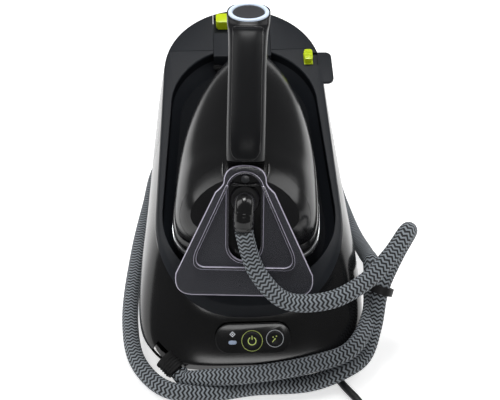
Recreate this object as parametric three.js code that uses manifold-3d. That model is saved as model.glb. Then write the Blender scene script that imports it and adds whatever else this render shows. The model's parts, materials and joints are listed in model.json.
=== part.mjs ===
// Compact steam ironing station: a steam iron docked on a sloping base with a pull-out water tank,
// a braided steam hose wound round the base, and a mains lead. Millimetres, +Z up, the control
// panel faces -Y, and the origin is on the floor under the middle of the base.
import * as THREE from "three";
import { mergeVertices } from "three/addons/utils/BufferGeometryUtils.js";
import Module from "manifold-3d";

const wasm = await Module();
wasm.setup();

// ---------------------------------------------------------------- driving dimensions

const TILT = THREE.MathUtils.degToRad(14); // slope of the deck, rising to the back
const GAP = 0.4; // running gap between neighbouring pieces
const WALL = 2.6; // wall of the moulded shells
const BACK_Y = 184; // back end of the base
const DECK_BACK_Z = 164.8; // height of the deck at the back end
const SKIRT_Z = 22; // level of the widest outline
const FOOT_Z = 10; // lower edge of the housing, drawn in a little below the skirt
const DECK_THICK = 4;
const DIP_START_Y = -96; // the deck scoops down in front of this line
const DIP_DEPTH = 16.5;
const RIM_FRONT_Y = -151;

// Outlines: a half circle behind, straight flanks, and a superellipse of half-width `front` in front.
const FOOTPRINT = { back: 98, backY: 86, front: 105, frontY: -75, reach: 108.5, power: 4 };
const RIM = { back: 81, backY: 104, front: 84, frontY: -66, reach: 85, power: 2.4 };
const TRAY = { back: 73, backY: 57, front: 79, frontY: -66, reach: 71, power: 2.4 };
const TRAY_DEPTH = 22;
const SIDE_EASE = 1.8; // how late the flanks turn in towards the rim
const BACK_TUCK = 10; // how far the lowest part of the back is drawn in

const TANK_FRONT_Y = 20;
const TANK_LOW_Z = 24;
const TANK_COVER_Y = 127; // the crescent cover starts here
const CORE_HALF = 60; // the part of the base between the tank's two arms
const CORE_BACK_Y = 112;

const IRON_YAW = THREE.MathUtils.degToRad(-3.4); // the iron stands a little askew in its dock
const IRON_PIVOT_Y = -30;
const IRON_HEEL = new THREE.Vector3(0, -118, 84.5); // underside of the soleplate at its rear end

const HOSE_R = 7.6;
const LEAD_R = 3.5;
const HOSE_GLAND = { at: [-78, -171, 20], way: [0.66, -0.68, -0.32] };

// ---------------------------------------------------------------- materials

const plastic = (color, roughness, extra = {}) => new THREE.MeshStandardMaterial({ color, roughness, metalness: 0, ...extra });
const metal = (color, roughness) => new THREE.MeshStandardMaterial({ color, roughness, metalness: 1 });
const glossBlack = plastic(0x0b0b0c, 0.18);
const matteDeck = plastic(0x1c1f24, 0.55);
const satinBlack = plastic(0x141516, 0.35);
const softBlack = plastic(0x161718, 0.7);
const smokedTank = plastic(0x3a3a3c, 0.08, { transparent: true, opacity: 0.4 });
const clearLilac = plastic(0xb9b3c6, 0.05, { transparent: true, opacity: 0.4 });
const lime = plastic(0xc4d600, 0.3);
const lampBlue = plastic(0x8fa9cc, 0.4);
const ringWhite = plastic(0xd5dde6, 0.3);
const rubber = plastic(0x101010, 0.85);
const steel = metal(0xb8bcc0, 0.3);
const castAluminium = metal(0x9a9c9e, 0.55);
const brass = metal(0xb08d4a, 0.35);
const boardGreen = plastic(0x1d5a36, 0.6);
const braid = plastic(0x50565b, 0.9);
const silicone = plastic(0x33363a, 0.6);

// ---------------------------------------------------------------- solids and booleans

const V = (x, y, z) => new THREE.Vector3(x, y, z);
const { lerp, smoothstep } = THREE.MathUtils;

function solidOf(geometry) {
  const bare = (geometry.index ? geometry.toNonIndexed() : geometry.clone());
  bare.deleteAttribute("normal");
  bare.deleteAttribute("uv");
  const merged = mergeVertices(bare, 1e-4);
  return new wasm.Manifold(new wasm.Mesh({
    numProp: 3,
    vertProperties: new Float32Array(merged.attributes.position.array),
    triVerts: new Uint32Array(merged.index.array),
  }));
}

function geometryOf(solid) {
  const { numProp, vertProperties, triVerts, numVert } = solid.getMesh();
  const position = new Float32Array(numVert * 3);
  for (let i = 0; i < numVert; i++) position.set(vertProperties.subarray(i * numProp, i * numProp + 3), i * 3);
  const geometry = new THREE.BufferGeometry();
  geometry.setAttribute("position", new THREE.BufferAttribute(position, 3));
  geometry.setIndex(new THREE.BufferAttribute(new Uint32Array(triVerts), 1));
  geometry.computeVertexNormals();
  return geometry;
}

const combine = (method) => (first, ...others) =>
  geometryOf(others.reduce((sum, next) => sum[method](solidOf(next)), solidOf(first)));
const cut = combine("subtract");
const join = combine("add");
const common = combine("intersect");

// A surface through closed rings of equal length, counter-clockwise from above, capped at both ends.
// `seam` names the two neighbouring points (or one point twice) where a ring's left and right sides
// meet, and then the caps are strips from side to side; otherwise they are triangulated flat.
function loft(rings, seam) {
  const n = rings[0].length;
  const index = [];
  for (let low = 0; low < (rings.length - 1) * n; low += n) {
    for (let k = 0; k < n; k++) {
      const next = (k + 1) % n;
      index.push(low + k, low + next, low + n + next, low + k, low + n + next, low + n + k);
    }
  }
  const top = (rings.length - 1) * n;
  for (const [a, b, c] of seam ? strips(n, seam) : flatCap(rings[0])) index.push(a, c, b);
  for (const [a, b, c] of seam ? strips(n, seam) : flatCap(rings.at(-1))) index.push(top + a, top + b, top + c);
  const geometry = new THREE.BufferGeometry().setFromPoints(rings.flat());
  geometry.setIndex(index);
  geometry.computeVertexNormals();
  return geometry;
}

const flatCap = (ring) => THREE.ShapeUtils.triangulateShape(ring.map((p) => new THREE.Vector2(p.x, p.y)), []);

function strips(n, [right, left]) {
  const triangles = [];
  for (let s = 0; s < (n - 1) / 2; s++) {
    const [r0, r1, l0, l1] = [right - s, right - s - 1, left + s, left + s + 1].map((k) => (k + n) % n);
    if (l0 !== r0) triangles.push([l0, r1, r0]);
    if (l1 !== r1) triangles.push([l0, l1, r1]);
  }
  return triangles;
}

function box(x0, x1, y0, y1, z0, z1) {
  return new THREE.BoxGeometry(x1 - x0, y1 - y0, z1 - z0).translate((x0 + x1) / 2, (y0 + y1) / 2, (z0 + z1) / 2);
}

// A cylinder along Z from z0 to z1; a second radius makes it a cone.
function disc(r, z0, z1, { sides = 24, x = 0, y = 0, top = r } = {}) {
  return new THREE.CylinderGeometry(top, r, z1 - z0, sides).rotateX(Math.PI / 2).translate(x, y, (z0 + z1) / 2);
}

// A body turned about Z from [radius, height] pairs that start and end on the axis.
function turned(profile, sides = 28) {
  return new THREE.LatheGeometry(profile.map(([r, z]) => new THREE.Vector2(r, z)), sides).rotateX(Math.PI / 2);
}

function ring(outer, inner, z0, z1, sides = 28) {
  return turned([[inner, z0], [outer, z0], [outer, z1], [inner, z1], [inner, z0]], sides);
}

function roundedPlate(width, length, corner, height, segments = 5) {
  const w = width / 2;
  const l = length / 2;
  const shape = new THREE.Shape();
  shape.moveTo(-w + corner, -l);
  shape.lineTo(w - corner, -l);
  shape.absarc(w - corner, -l + corner, corner, -Math.PI / 2, 0);
  shape.absarc(w - corner, l - corner, corner, 0, Math.PI / 2);
  shape.absarc(-w + corner, l - corner, corner, Math.PI / 2, Math.PI);
  shape.absarc(-w + corner, -l + corner, corner, Math.PI, 1.5 * Math.PI);
  return new THREE.ExtrudeGeometry(shape, { depth: height, bevelEnabled: false, curveSegments: segments });
}

// A tube along a curve, as an extruded polygon of `sides` sides.
function sweep(curve, radius, { steps = 20, sides = 10 } = {}) {
  const section = new THREE.Shape();
  for (let i = 0; i < sides; i++) {
    const a = (2 * Math.PI * i) / sides;
    const [x, y] = [radius * Math.cos(a), radius * Math.sin(a)];
    if (i) section.lineTo(x, y);
    else section.moveTo(x, y);
  }
  return new THREE.ExtrudeGeometry(section, { steps, extrudePath: curve, bevelEnabled: false, curveSegments: 1 });
}

// Turns a shape drawn along Z to point along `way`, with its origin moved to `at`.
function aim(geometry, at, way) {
  const turn = new THREE.Quaternion().setFromUnitVectors(V(0, 0, 1), V(...way).normalize());
  return geometry.applyQuaternion(turn).translate(...at);
}

const smooth = (points) => new THREE.CatmullRomCurve3(points.map((p) => V(...p)), false, "centripetal");

const station = new THREE.Group();
function part(name, geometry, material, parent = station) {
  const mesh = new THREE.Mesh(geometry, material);
  mesh.name = name;
  parent.add(mesh);
  return mesh;
}

// ---------------------------------------------------------------- the base's outer form

const deckPlaneZ = (y) => DECK_BACK_Z + (y - BACK_Y) * Math.tan(TILT);
const deckZ = (y) => deckPlaneZ(y) - DIP_DEPTH * Math.max(0, (DIP_START_Y - y) / (DIP_START_Y - RIM_FRONT_Y)) ** 2;

const OUTLINE_SEAM = [9, 9]; // the middle of an outline's back arc
const mould = (rings) => loft(rings, OUTLINE_SEAM);

// A closed outline, counter-clockwise from the right-hand end of the back arc.
function outline({ back, backY, front, frontY, reach, power }) {
  const points = [];
  const backSteps = 18;
  const flankSteps = 4;
  const frontSteps = 22;
  for (let i = 0; i <= backSteps; i++) {
    const a = (Math.PI * i) / backSteps;
    points.push([back * Math.cos(a), backY + back * Math.sin(a)]);
  }
  for (let i = 1; i < flankSteps; i++) points.push([-lerp(back, front, i / flankSteps), lerp(backY, frontY, i / flankSteps)]);
  for (let i = 0; i <= frontSteps; i++) {
    const a = Math.PI + (Math.PI * i) / frontSteps;
    const bulge = (c) => Math.sign(c) * Math.abs(c) ** (2 / power);
    points.push([front * bulge(Math.cos(a)), frontY + reach * bulge(Math.sin(a))]);
  }
  for (let i = flankSteps - 1; i > 0; i--) points.push([lerp(back, front, i / flankSteps), lerp(backY, frontY, i / flankSteps)]);
  return points;
}

// Moves a closed outline inwards, along the mean normal at each point, by a distance or by a
// distance worked out for each point.
function inset(points, distance) {
  const by = typeof distance === "function" ? distance : () => distance;
  const n = points.length;
  return points.map(([x, y], k) => {
    const [ax, ay] = points[(k + n - 1) % n];
    const [cx, cy] = points[(k + 1) % n];
    const step = by(x, y) / Math.hypot(cx - ax, cy - ay);
    return [x - step * (cy - ay), y + step * (cx - ax)];
  });
}

const footprint = outline(FOOTPRINT);
const rim = outline(RIM);

// One ring of the base's outer form at the level that `levelAt` gives for each y.
function bodyRing(levelAt, distance = 0) {
  const placed = footprint.map(([fx, fy], k) => {
    const [rx, ry] = rim[k];
    let [x, y] = [rx, ry];
    for (let pass = 0; pass < 3; pass++) {
      const height = (levelAt(y) - SKIRT_Z) / (deckZ(y) - SKIRT_Z);
      const ease = THREE.MathUtils.clamp(height, 0, 1) ** SIDE_EASE;
      x = lerp(fx, rx, ease);
      y = lerp(fy, ry, ease);
    }
    return [x, y];
  });
  const tuck = (x, y) => BACK_TUCK * smoothstep(y, -60, 70) * (1 - smoothstep(levelAt(y), SKIRT_Z, 75));
  return inset(placed, (x, y) => distance + tuck(x, y)).map(([x, y], k) => V(x, y, levelAt(placed[k][1])));
}

const flatRing = (points, levelAt) => points.map(([x, y]) => V(x, y, levelAt(y)));

// The dock's outer surface, grown by a clearance, up past the deck: what its neighbours stay clear of.
function trayBlock(grow) {
  const edge = outline(TRAY);
  const foot = inset(edge, 9);
  return mould([
    flatRing(inset(foot, -grow), (y) => deckPlaneZ(y) - TRAY_DEPTH - WALL - grow),
    flatRing(inset(edge, -WALL - grow), (y) => deckZ(y) - DECK_THICK - grow),
    flatRing(inset(edge, -WALL - grow), (y) => deckZ(y) + 30),
  ]);
}

// ---------------------------------------------------------------- base housing, floor and feet

// The whole outer form from the lower edge up to `drop` below the deck, inset by a distance.
function outerForm(distance, drop, low = FOOT_Z, tuck = 4) {
  const steps = [0, 0.18, 0.34, 0.5, 0.7, 0.88, 1];
  const rings = steps.map((u) => bodyRing((y) => lerp(SKIRT_Z, deckZ(y) - drop, u), distance));
  return mould([bodyRing(() => low, distance + tuck), ...rings]);
}

const panelCentre = V(0, -172.2, 45);
const PANEL_LEAN = THREE.MathUtils.degToRad(39); // the panel's face leans back from upright
const PANEL_WIDTH = 66;
const PANEL_HEIGHT = 26;
const PANEL_CORNER = 12;

// Puts a shape drawn face up (width along X, height along Y) onto the sloping control panel.
const onPanel = (geometry, x = 0, y = 0, out = 0) =>
  geometry.translate(x, y, out).rotateX(Math.PI / 2 - PANEL_LEAN).translate(panelCentre.x, panelCentre.y, panelCentre.z);

const POWER_AT = [-1, -2];
const MODE_AT = [19, -0.5];
const LAMP_AT = [-18, -3];

function baseHousing() {
  const shell = cut(outerForm(0, DECK_THICK + GAP), outerForm(WALL, -20, FOOT_Z - 1, 4));
  const tankSide = box(-200, 200, TANK_FRONT_Y, 300, TANK_LOW_Z, 300);
  const panelPocket = onPanel(roundedPlate(PANEL_WIDTH + 0.8, PANEL_HEIGHT + 0.8, PANEL_CORNER + 0.4, 20), 0, 0, -9);
  const hoseHole = aim(disc(8.8, -14, 14, { sides: 16 }), HOSE_GLAND.at, HOSE_GLAND.way);
  return cut(shell, tankSide, panelPocket, hoseHole);
}

part("base_housing", baseHousing(), glossBlack);

const panEdge = inset(footprint, (x, y) => 9.4 + BACK_TUCK * smoothstep(y, -60, 70));
const DRAIN = { x: 0, y: 30 };
part("floor_pan", cut(
  mould([flatRing(panEdge, () => 4.3), flatRing(panEdge, () => 14)]),
  mould([flatRing(inset(panEdge, 3), () => 7.5), flatRing(inset(panEdge, 3), () => 30)]),
  disc(7, 0, 20, DRAIN),
), softBlack);
part("drain_plug", join(disc(6.6, 3, 13.8, DRAIN), disc(11, 1, 3.9, DRAIN), box(-8, 8, 28.8, 31.2, 0.3, 1.5)), softBlack);

const footAt = { front_left: [-68, -120], front_right: [68, -120], back_left: [-60, 130], back_right: [60, 130] };
for (const [where, [x, y]] of Object.entries(footAt)) {
  part(`foot_${where}`, disc(11, 0, 4, { x, y, top: 12 }), rubber);
}

// ---------------------------------------------------------------- deck and dock

function trayHollow() {
  const edge = outline(TRAY);
  return mould([
    flatRing(inset(edge, 9), (y) => deckPlaneZ(y) - TRAY_DEPTH),
    flatRing(edge, (y) => deckZ(y) - 2),
    flatRing(edge, (y) => deckZ(y) + 40),
  ]);
}

// Everything from `drop` below the deck upwards.
function aboveDeck(drop) {
  const wide = inset(rim, -25);
  return mould([flatRing(wide, (y) => deckZ(y) - drop), flatRing(wide, (y) => deckZ(y) + 80)]);
}

const BRIDGE_HALF = 30;
const BRIDGE_FRONT_Y = 119;
const SLIDER = { x0: 63.5, x1: 73, y0: 105, y1: 122 };
const onDeck = (geometry, y, lift = 0) => geometry.rotateX(TILT).translate(0, y, deckPlaneZ(y) + lift);

function dockDeck() {
  const slab = mould([bodyRing((y) => deckZ(y) - DECK_THICK), bodyRing((y) => deckZ(y))]);
  const bowl = cut(trayBlock(0), aboveDeck(DECK_THICK / 2));
  const tab = onDeck(roundedPlate(24, 42, 6.5, 3.6).translate(81, 0, -3.6), 102);
  const coverGap = join(
    box(-200, -BRIDGE_HALF, TANK_COVER_Y, 300, 0, 400),
    box(BRIDGE_HALF, 200, TANK_COVER_Y, 300, 0, 400),
  );
  const belowBridge = box(-200, 200, TANK_COVER_Y + 14, 300, 0, 400);
  const slot = onDeck(box(SLIDER.x0, SLIDER.x1 + 5.5, -8.5, 8.5, -2.4, 10), (SLIDER.y0 + SLIDER.y1) / 2);
  const bridgeSeat = box(-BRIDGE_HALF - GAP, BRIDGE_HALF + GAP, BRIDGE_FRONT_Y - GAP, 300, 0, 400);
  return cut(join(slab, bowl, tab), trayHollow(), coverGap, belowBridge, slot, bridgeSeat);
}
part("dock_deck", dockDeck(), matteDeck);

// Bridge over the gap in the tank's cover, its front lip standing into the tray.
const BRIDGE_DEPTH = 11;
const bridgeSlab = mould([bodyRing((y) => deckZ(y) - BRIDGE_DEPTH), bodyRing(deckZ)]);
part("nose_bridge", cut(
  common(bridgeSlab, box(-BRIDGE_HALF, BRIDGE_HALF, BRIDGE_FRONT_Y, 300, 0, 400)),
  onDeck(box(-29, -8, -9, 14, -3, 20), 160),
), matteDeck);
part("latch_knob", onDeck(join(
  roundedPlate(17, 13, 3, 10).translate(-18.5, 6.5, -2.4),
  box(-25, -12, -1, 1, -2.4, -1.4),
), 160), lime);

part("lock_slider", onDeck(
  join(box(SLIDER.x0 + 0.4, SLIDER.x1, -8, 8, -2, 0.5), roundedPlate(8.5, 14, 2.5, 7).translate(68.3, 0, 0)),
  (SLIDER.y0 + SLIDER.y1) / 2,
), lime);

// ---------------------------------------------------------------- water tank and its cover

function tankForm(inside) {
  const wall = inside ? WALL : 0;
  const clear = inside ? 0 : GAP;
  const form = outerForm(wall, DECK_THICK + GAP + wall, FOOT_Z, 4);
  const kept = common(form, box(-200, 200, TANK_FRONT_Y + GAP + wall, 300, TANK_LOW_Z + GAP + wall, 300));
  const core = box(-CORE_HALF + clear - wall, CORE_HALF - clear + wall, -100, CORE_BACK_Y + wall, 0, 300);
  const half = BRIDGE_HALF + 1.2 + wall;
  const underBridge = common(aboveDeck(BRIDGE_DEPTH + GAP + 0.6 + wall), box(-half, half, 0, 300, 0, 400));
  return cut(kept, core, trayBlock(GAP + wall), underBridge);
}

const FILLER = { x: 0, y: 152, r: 13 };
part("water_tank", cut(tankForm(false), tankForm(true), disc(FILLER.r, 100, 200, FILLER)), smokedTank);

function tankCover(side) {
  const slab = mould([bodyRing((y) => deckZ(y) - DECK_THICK), bodyRing((y) => deckZ(y))]);
  const [x0, x1] = side > 0 ? [BRIDGE_HALF + GAP, 200] : [-200, -BRIDGE_HALF - GAP];
  return common(slab, box(x0, x1, TANK_COVER_Y + GAP, 300, 0, 400));
}
part("tank_cover_left", tankCover(-1), matteDeck);
part("tank_cover_right", tankCover(1), matteDeck);

// ---------------------------------------------------------------- inside the base

part("boiler_lower", turned([[0, 20], [38, 20], [42, 24], [42, 44], [0, 44]]).translate(0, 30, 0), castAluminium);
part("boiler_upper", turned([[0, 44.4], [42, 44.4], [42, 60], [34, 68], [0, 68]]).translate(0, 30, 0), castAluminium);
part("boiler_heater", ring(34, 27, 14.4, 19.6).translate(0, 30, 0), steel);
part("safety_valve", disc(6, 68.4, 80, { x: 18, y: 44, sides: 12 }), brass);
part("thermostat", disc(9, 68.4, 74, { x: -18, y: 44, sides: 16 }), steel);
part("steam_valve", join(box(-12, 12, -58, -34, 20, 50), disc(9, 50, 66, { x: 0, y: -46 })), brass);
part("water_pump", join(box(-50, -26, -60, -22, 26, 52), disc(10, 52, 62, { x: -38, y: -42 })), softBlack);
part("pump_mount", box(-53, -23, -64, -18, 8, 25.6), rubber);
part("control_board", box(24, 70, -120, -60, 30, 32), boardGreen);
part("steam_pipe", disc(3.5, 12.6, 33.6, { sides: 10 }).rotateX(Math.PI / 2).translate(0, 0, 48), steel);
part("water_pipe", sweep(smooth([[-38, -21.6, 40], [-38, -16, 40], [-37, -8, 36], [-34, -0.5, 34]]), 3, { steps: 8, sides: 8 }), silicone);
part("tank_valve", disc(8, 7.9, 23.8, { x: 0, y: 150, sides: 20 }), softBlack);
part("core_shroud", cut(box(-58.8, 58.8, 6, 111.4, 14.6, 92), box(-56.4, 56.4, 0, 109, 10, 89.6)), softBlack);

// Silicone ribs on the dock's floor carry the soleplate.
for (const [side, x] of [["left", -38], ["right", 38]]) {
  part(`rest_rib_${side}`, onDeck(roundedPlate(9, 132, 4, 15.4).translate(x, 0, -21), -14), silicone);
}

// ---------------------------------------------------------------- control panel

function controlPanel() {
  const plate = roundedPlate(PANEL_WIDTH, PANEL_HEIGHT, PANEL_CORNER, 5);
  const hole = ([x, y], r) => disc(r, -1, 8, { x, y });
  return onPanel(cut(plate, hole(POWER_AT, 9.2), hole(MODE_AT, 7.6), hole(LAMP_AT, 4)), 0, 0, -4);
}
part("control_panel", controlPanel(), glossBlack);
part("power_button", onPanel(disc(8.8, 0, 6, { top: 8.3 }), ...POWER_AT, -4), satinBlack);
part("mode_button", onPanel(disc(7.2, 0, 6, { top: 6.8 }), ...MODE_AT, -4), satinBlack);
part("pilot_lamp", onPanel(disc(3.7, 0, 5), ...LAMP_AT, -4), lampBlue);

// ---------------------------------------------------------------- iron, drawn level and nose along +Y

const iron = new THREE.Group();
iron.rotation.x = TILT;
iron.position.copy(IRON_HEEL);
const ironTurn = new THREE.Group();
ironTurn.rotation.z = IRON_YAW;
ironTurn.position.set(0, IRON_PIVOT_Y, 0);
iron.position.y -= IRON_PIVOT_Y;
ironTurn.add(iron);
station.add(ironTurn);
const ironPart = (name, geometry, material) => part(name, geometry, material, iron);

const SOLE = { half: 67, widest: 44, rear: -2, nose: 242 };
const SKIRT_TOP = 22;
const IRON_STEPS = 15; // points along each side of the iron's outline

// Half-width of the soleplate at a distance along it.
function soleHalf(y) {
  if (y >= SOLE.widest) return SOLE.half * (1 - ((y - SOLE.widest) / 200) ** 2.4) ** 0.72;
  return SOLE.half * (1 - Math.min(1, (SOLE.widest - y) / 46) ** 3.5) ** (1 / 3.5);
}

// The soleplate's outline narrowed by a factor and shortened at each end, at the height `levelAt` gives.
function ironRing(narrow, back, front, levelAt) {
  const right = [];
  for (let i = 0; i <= IRON_STEPS; i++) {
    const t = (1 - Math.cos((Math.PI * i) / IRON_STEPS)) / 2;
    const y = lerp(SOLE.rear + 0.4, SOLE.nose, t);
    right.push([soleHalf(y) * narrow, lerp(SOLE.rear + back, SOLE.nose - front, t)]);
  }
  const left = right.map(([x, y]) => [-x, y]).reverse();
  return [...right, ...left].map(([x, y]) => V(x, y, levelAt(y)));
}

const level = (z) => () => z;
const ironMould = (rings) => loft(rings, [IRON_STEPS, IRON_STEPS + 1]);
ironPart("soleplate", ironMould([
  ironRing(0.97, 1.5, 2, level(0)), ironRing(1, 0, 0, level(2)), ironRing(1, 0, 0, level(8)),
]), castAluminium);
ironPart("skirt", cut(
  ironMould([ironRing(0.985, 1, 1.5, level(8.4)), ironRing(0.96, 2, 3, level(SKIRT_TOP))]),
  ironMould([ironRing(0.86, 8, 16, level(7)), ironRing(0.86, 8, 16, level(30))]),
), glossBlack);
ironPart("steam_chamber", ironMould([ironRing(0.84, 9, 20, level(8.4)), ironRing(0.78, 12, 26, level(20))]), castAluminium);

const crown = new THREE.CatmullRomCurve3([
  V(0, -10, 74), V(0, 50, 78), V(0, 80, 71), V(0, 140, 62), V(0, 180, 56), V(0, 225, 42), V(0, 246, 34),
]);
const crownPoints = crown.getPoints(40);
function crownZ(y) {
  const k = Math.max(1, crownPoints.findIndex((p) => p.y >= y));
  const [a, b] = [crownPoints[k - 1], crownPoints[k]];
  return lerp(a.z, b.z, THREE.MathUtils.clamp((y - a.y) / (b.y - a.y), 0, 1));
}

// The shell's form: a quarter-round cross-section rising from the skirt to the crown line.
function shellForm(inner) {
  const rings = [0, 0.3, 0.55, 0.78, 0.93, 1].map((t) => {
    const narrow = (0.95 - inner * 0.045) * Math.sqrt(1 - (t * 0.97) ** 2.2);
    const rise = (y) => SKIRT_TOP + GAP + (crownZ(y) - inner * 3 - SKIRT_TOP) * t;
    return ironRing(narrow, 3 + inner * 3, 5 + 30 * t * t + inner * 4, rise);
  });
  if (inner) rings.unshift(rings[0].map((p) => V(p.x, p.y, p.z - 5)));
  return ironMould(rings);
}

// Heel plate frame: drawn face up with u along Y, then leaned back 45 degrees behind the iron.
const HEEL = { y: -37, z: 8, lean: THREE.MathUtils.degToRad(45) };
const onHeel = (geometry) => geometry.rotateX(HEEL.lean).translate(0, HEEL.y, HEEL.z);
const REAR_COVER_FRONT = -13;

const behindHeel = onHeel(box(-200, 200, -200, 300, REAR_COVER_FRONT - GAP, 200));
ironPart("iron_shell", cut(shellForm(0), shellForm(1), behindHeel), glossBlack);

function heelOutline(grow = 0, archTop = 113) {
  const shape = new THREE.Shape();
  const half = 60.5 + grow;
  shape.moveTo(-half + 17, -grow);
  shape.lineTo(half - 17, -grow);
  shape.quadraticCurveTo(half + 1, -grow, half - 2, 19);
  shape.lineTo(25 + grow, 90);
  shape.quadraticCurveTo(18 + grow, 96, 18 + grow, archTop - 14);
  shape.quadraticCurveTo(18 + grow, archTop + grow, 0, archTop + grow);
  shape.quadraticCurveTo(-18 - grow, archTop + grow, -18 - grow, archTop - 14);
  shape.quadraticCurveTo(-18 - grow, 96, -25 - grow, 90);
  shape.lineTo(-half + 2, 19);
  shape.quadraticCurveTo(-half - 1, -grow, -half + 17, -grow);
  return shape;
}

const slab = (shape, depth, segments = 6) => new THREE.ExtrudeGeometry(shape, { depth, bevelEnabled: false, curveSegments: segments });

function trianglePath(grow) {
  const shape = new THREE.Shape();
  shape.moveTo(-37 - grow, 25 - grow);
  shape.lineTo(37 + grow, 25 - grow);
  shape.quadraticCurveTo(44 + grow, 25 - grow, 41 + grow, 34);
  shape.lineTo(21 + grow, 86 + grow);
  shape.lineTo(-21 - grow, 86 + grow);
  shape.lineTo(-41 - grow, 34);
  shape.quadraticCurveTo(-44 - grow, 25 - grow, -37 - grow, 25 - grow);
  return shape;
}

function heelPlate() {
  const plate = slab(heelOutline(), 3.4);
  const rib = cut(slab(trianglePath(1.6), 6), slab(trianglePath(-0.8), 12).translate(0, 0, -3));
  const slot = roundedPlate(28, 75, 13.9, 30, 6).translate(0, 68.5, -10);
  return onHeel(cut(join(plate, rib), slot));
}
ironPart("heel_plate", heelPlate(), clearLilac);

const SOCKET_U = 84;
const SLOT_RELIEF = { width: 26, low: 30, high: 70, depth: 9 }; // the pocket behind the slot, below the socket

// The cover behind the heel plate closes the shell's rear opening, flush with the shell all round.
function rearCover() {
  const block = slab(heelOutline(-4, 108), -GAP - REAR_COVER_FRONT).translate(0, 0, REAR_COVER_FRONT);
  const layer = onHeel(box(-200, 200, -200, 300, REAR_COVER_FRONT, -GAP));
  return cut(
    join(onHeel(cut(block, box(-100, 100, -50, 12, -30, 10))), common(shellForm(0), layer)),
    onHeel(disc(12.6, -30, 10, { y: SOCKET_U })),
    onHeel(box(-SLOT_RELIEF.width / 2, SLOT_RELIEF.width / 2, SLOT_RELIEF.low, SLOT_RELIEF.high, -SLOT_RELIEF.depth, 10)),
  );
}
ironPart("rear_cover", rearCover(), satinBlack);
ironPart("boot_socket", onHeel(disc(12.2, -16, 7, { y: SOCKET_U, top: 11 })), satinBlack);
ironPart("heel_screw", onHeel(disc(3.6, 0, 2.6, { y: 101.2, sides: 12 })), steel);

// Handle: a grip with an oval section from above the heel to a flared head, and a column at the front.
const HEAD = { y: 170, z: 138, lean: THREE.MathUtils.degToRad(-18.5) };
const onHead = (geometry) => geometry.rotateX(HEAD.lean).translate(0, HEAD.y, HEAD.z);

function ovalRing(halfWidth, halfDepth, y, z, lean, sides = 20, power = 2.6) {
  const points = [];
  for (let i = 0; i < sides; i++) {
    const a = (2 * Math.PI * i) / sides;
    const bulge = (c) => Math.sign(c) * Math.abs(c) ** (2 / power);
    points.push(V(halfWidth * bulge(Math.cos(a)), halfDepth * bulge(Math.sin(a)), 0)
      .applyAxisAngle(V(1, 0, 0), lean).add(V(0, y, z)));
  }
  return points;
}

// Sections of the grip: [half width, half depth, y, z, lean], each leaning back further than upright.
const gripSections = [
  [17, 17, 48, 79.5, 0.05], [16.5, 16, 50, 88, -0.35], [16.3, 15, 57, 97.5, -0.85], [16.3, 14.6, 70, 105, -1.15],
  [16.3, 14.5, 100, 117.5, -1.15], [16.5, 14.5, 130, 129, -1.1], [17.2, 15, 149, 134.5, -0.85],
  [18.6, 17, 162, 134.5, -0.55], [19, 18.5, HEAD.y, HEAD.z, -0.323],
];
const columnSections = [
  [13, 22, 182, 56, 0], [12.5, 19, 180, 75, -0.05], [13.5, 16.5, 175, 102, -0.15],
  [18.6, 18.2, HEAD.y - 1.5, HEAD.z - 5, -0.323],
];

const TRIGGER_ROOM = 3.6; // the slot's height above the trigger at rest
const BUTTON_ROOM = 1.4; // the seat's depth below the button at rest

function handleShell() {
  const grip = loft(gripSections.map((section) => ovalRing(...section)));
  const column = loft(columnSections.map((section) => ovalRing(...section)));
  const triggerSlot = box(-7, 7, 128, 152, 60, 121.6 + TRIGGER_ROOM);
  const heelSide = onHeel(box(-100, 100, -100, 117, REAR_COVER_FRONT - GAP, 100));
  const seat = onHead(join(disc(18.2, -4, 10), disc(14.3, -3.6 - BUTTON_ROOM, 0)));
  return cut(join(grip, column), shellForm(0).translate(0, 0, GAP), triggerSlot, seat, heelSide);
}
ironPart("handle_shell", handleShell(), satinBlack);
ironPart("ring_light", onHead(ring(17.8, 14.4, -3.6, 1.4, 32)), ringWhite);
ironPart("handle_button", onHead(disc(14, -3.6, 0.9, { top: 13.4, sides: 32 })), plastic(0x4a4c50, 0.15));

ironPart("steam_trigger", cut(
  loft([ovalRing(6, 9, 139, 106, -0.3, 12, 2), ovalRing(6.3, 11, 140, 121.2, -0.3, 12, 2)]),
  box(-20, 20, 100, 128.6, 50, 140), box(-20, 20, 151.4, 200, 50, 140), box(-20, 20, 100, 200, 121.6, 140),
), satinBlack);

// ---------------------------------------------------------------- steam hose

const bootRoute = [[-5.4, -120.4, 160.3], [-6, -129, 164.5], [-6.9, -138, 158], [-7.1, -140.5, 149]];
part("hose_boot", sweep(smooth(bootRoute), 9.4, { steps: 10, sides: 14 }), rubber);

const hoseRoute = [
  [-7.1, -141, 146.6], [-3, -147, 128], [4, -157, 112], [26, -172, 94], [62, -174, 94], [94, -160, 100], [118, -141, 112],
  [134, -121, 119], [140, -107, 106], [130, -114, 84], [116, -134, 62], [109.5, -154, 34], [99, -174, 18], [79, -188.5, 16.4],
  [50, -195, 9], [0, -197, 8.1], [-44, -202, 8.1], [-78, -196, 8.1], [-103, -168, 8.1], [-114, -120, 8.1],
  [-112, -30, 8.1], [-104, 45, 8.1], [-96, 105, 8.1], [-70, 158, 8.1], [0, 185, 8.1], [70, 158, 8.1],
  [96, 105, 8.1], [104, 45, 8.1], [111, -12, 14], [114.5, -66, 38], [112, -104, 62], [110.5, -122, 53],
  [107, -145, 40], [86, -178, 33], [50, -190, 29], [0, -195, 24], [-34, -193, 18.5], [-61.5, -188, 12], [-66.4, -182.9, 14.5],
];
const hoseLine = smooth(hoseRoute).getSpacedPoints(250);
const HOSE_SPLIT = 20; // the stretch before this point goes with the iron
const SPLIT_GAP = 0.14; // between the two stretches, as a share of one step
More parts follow.
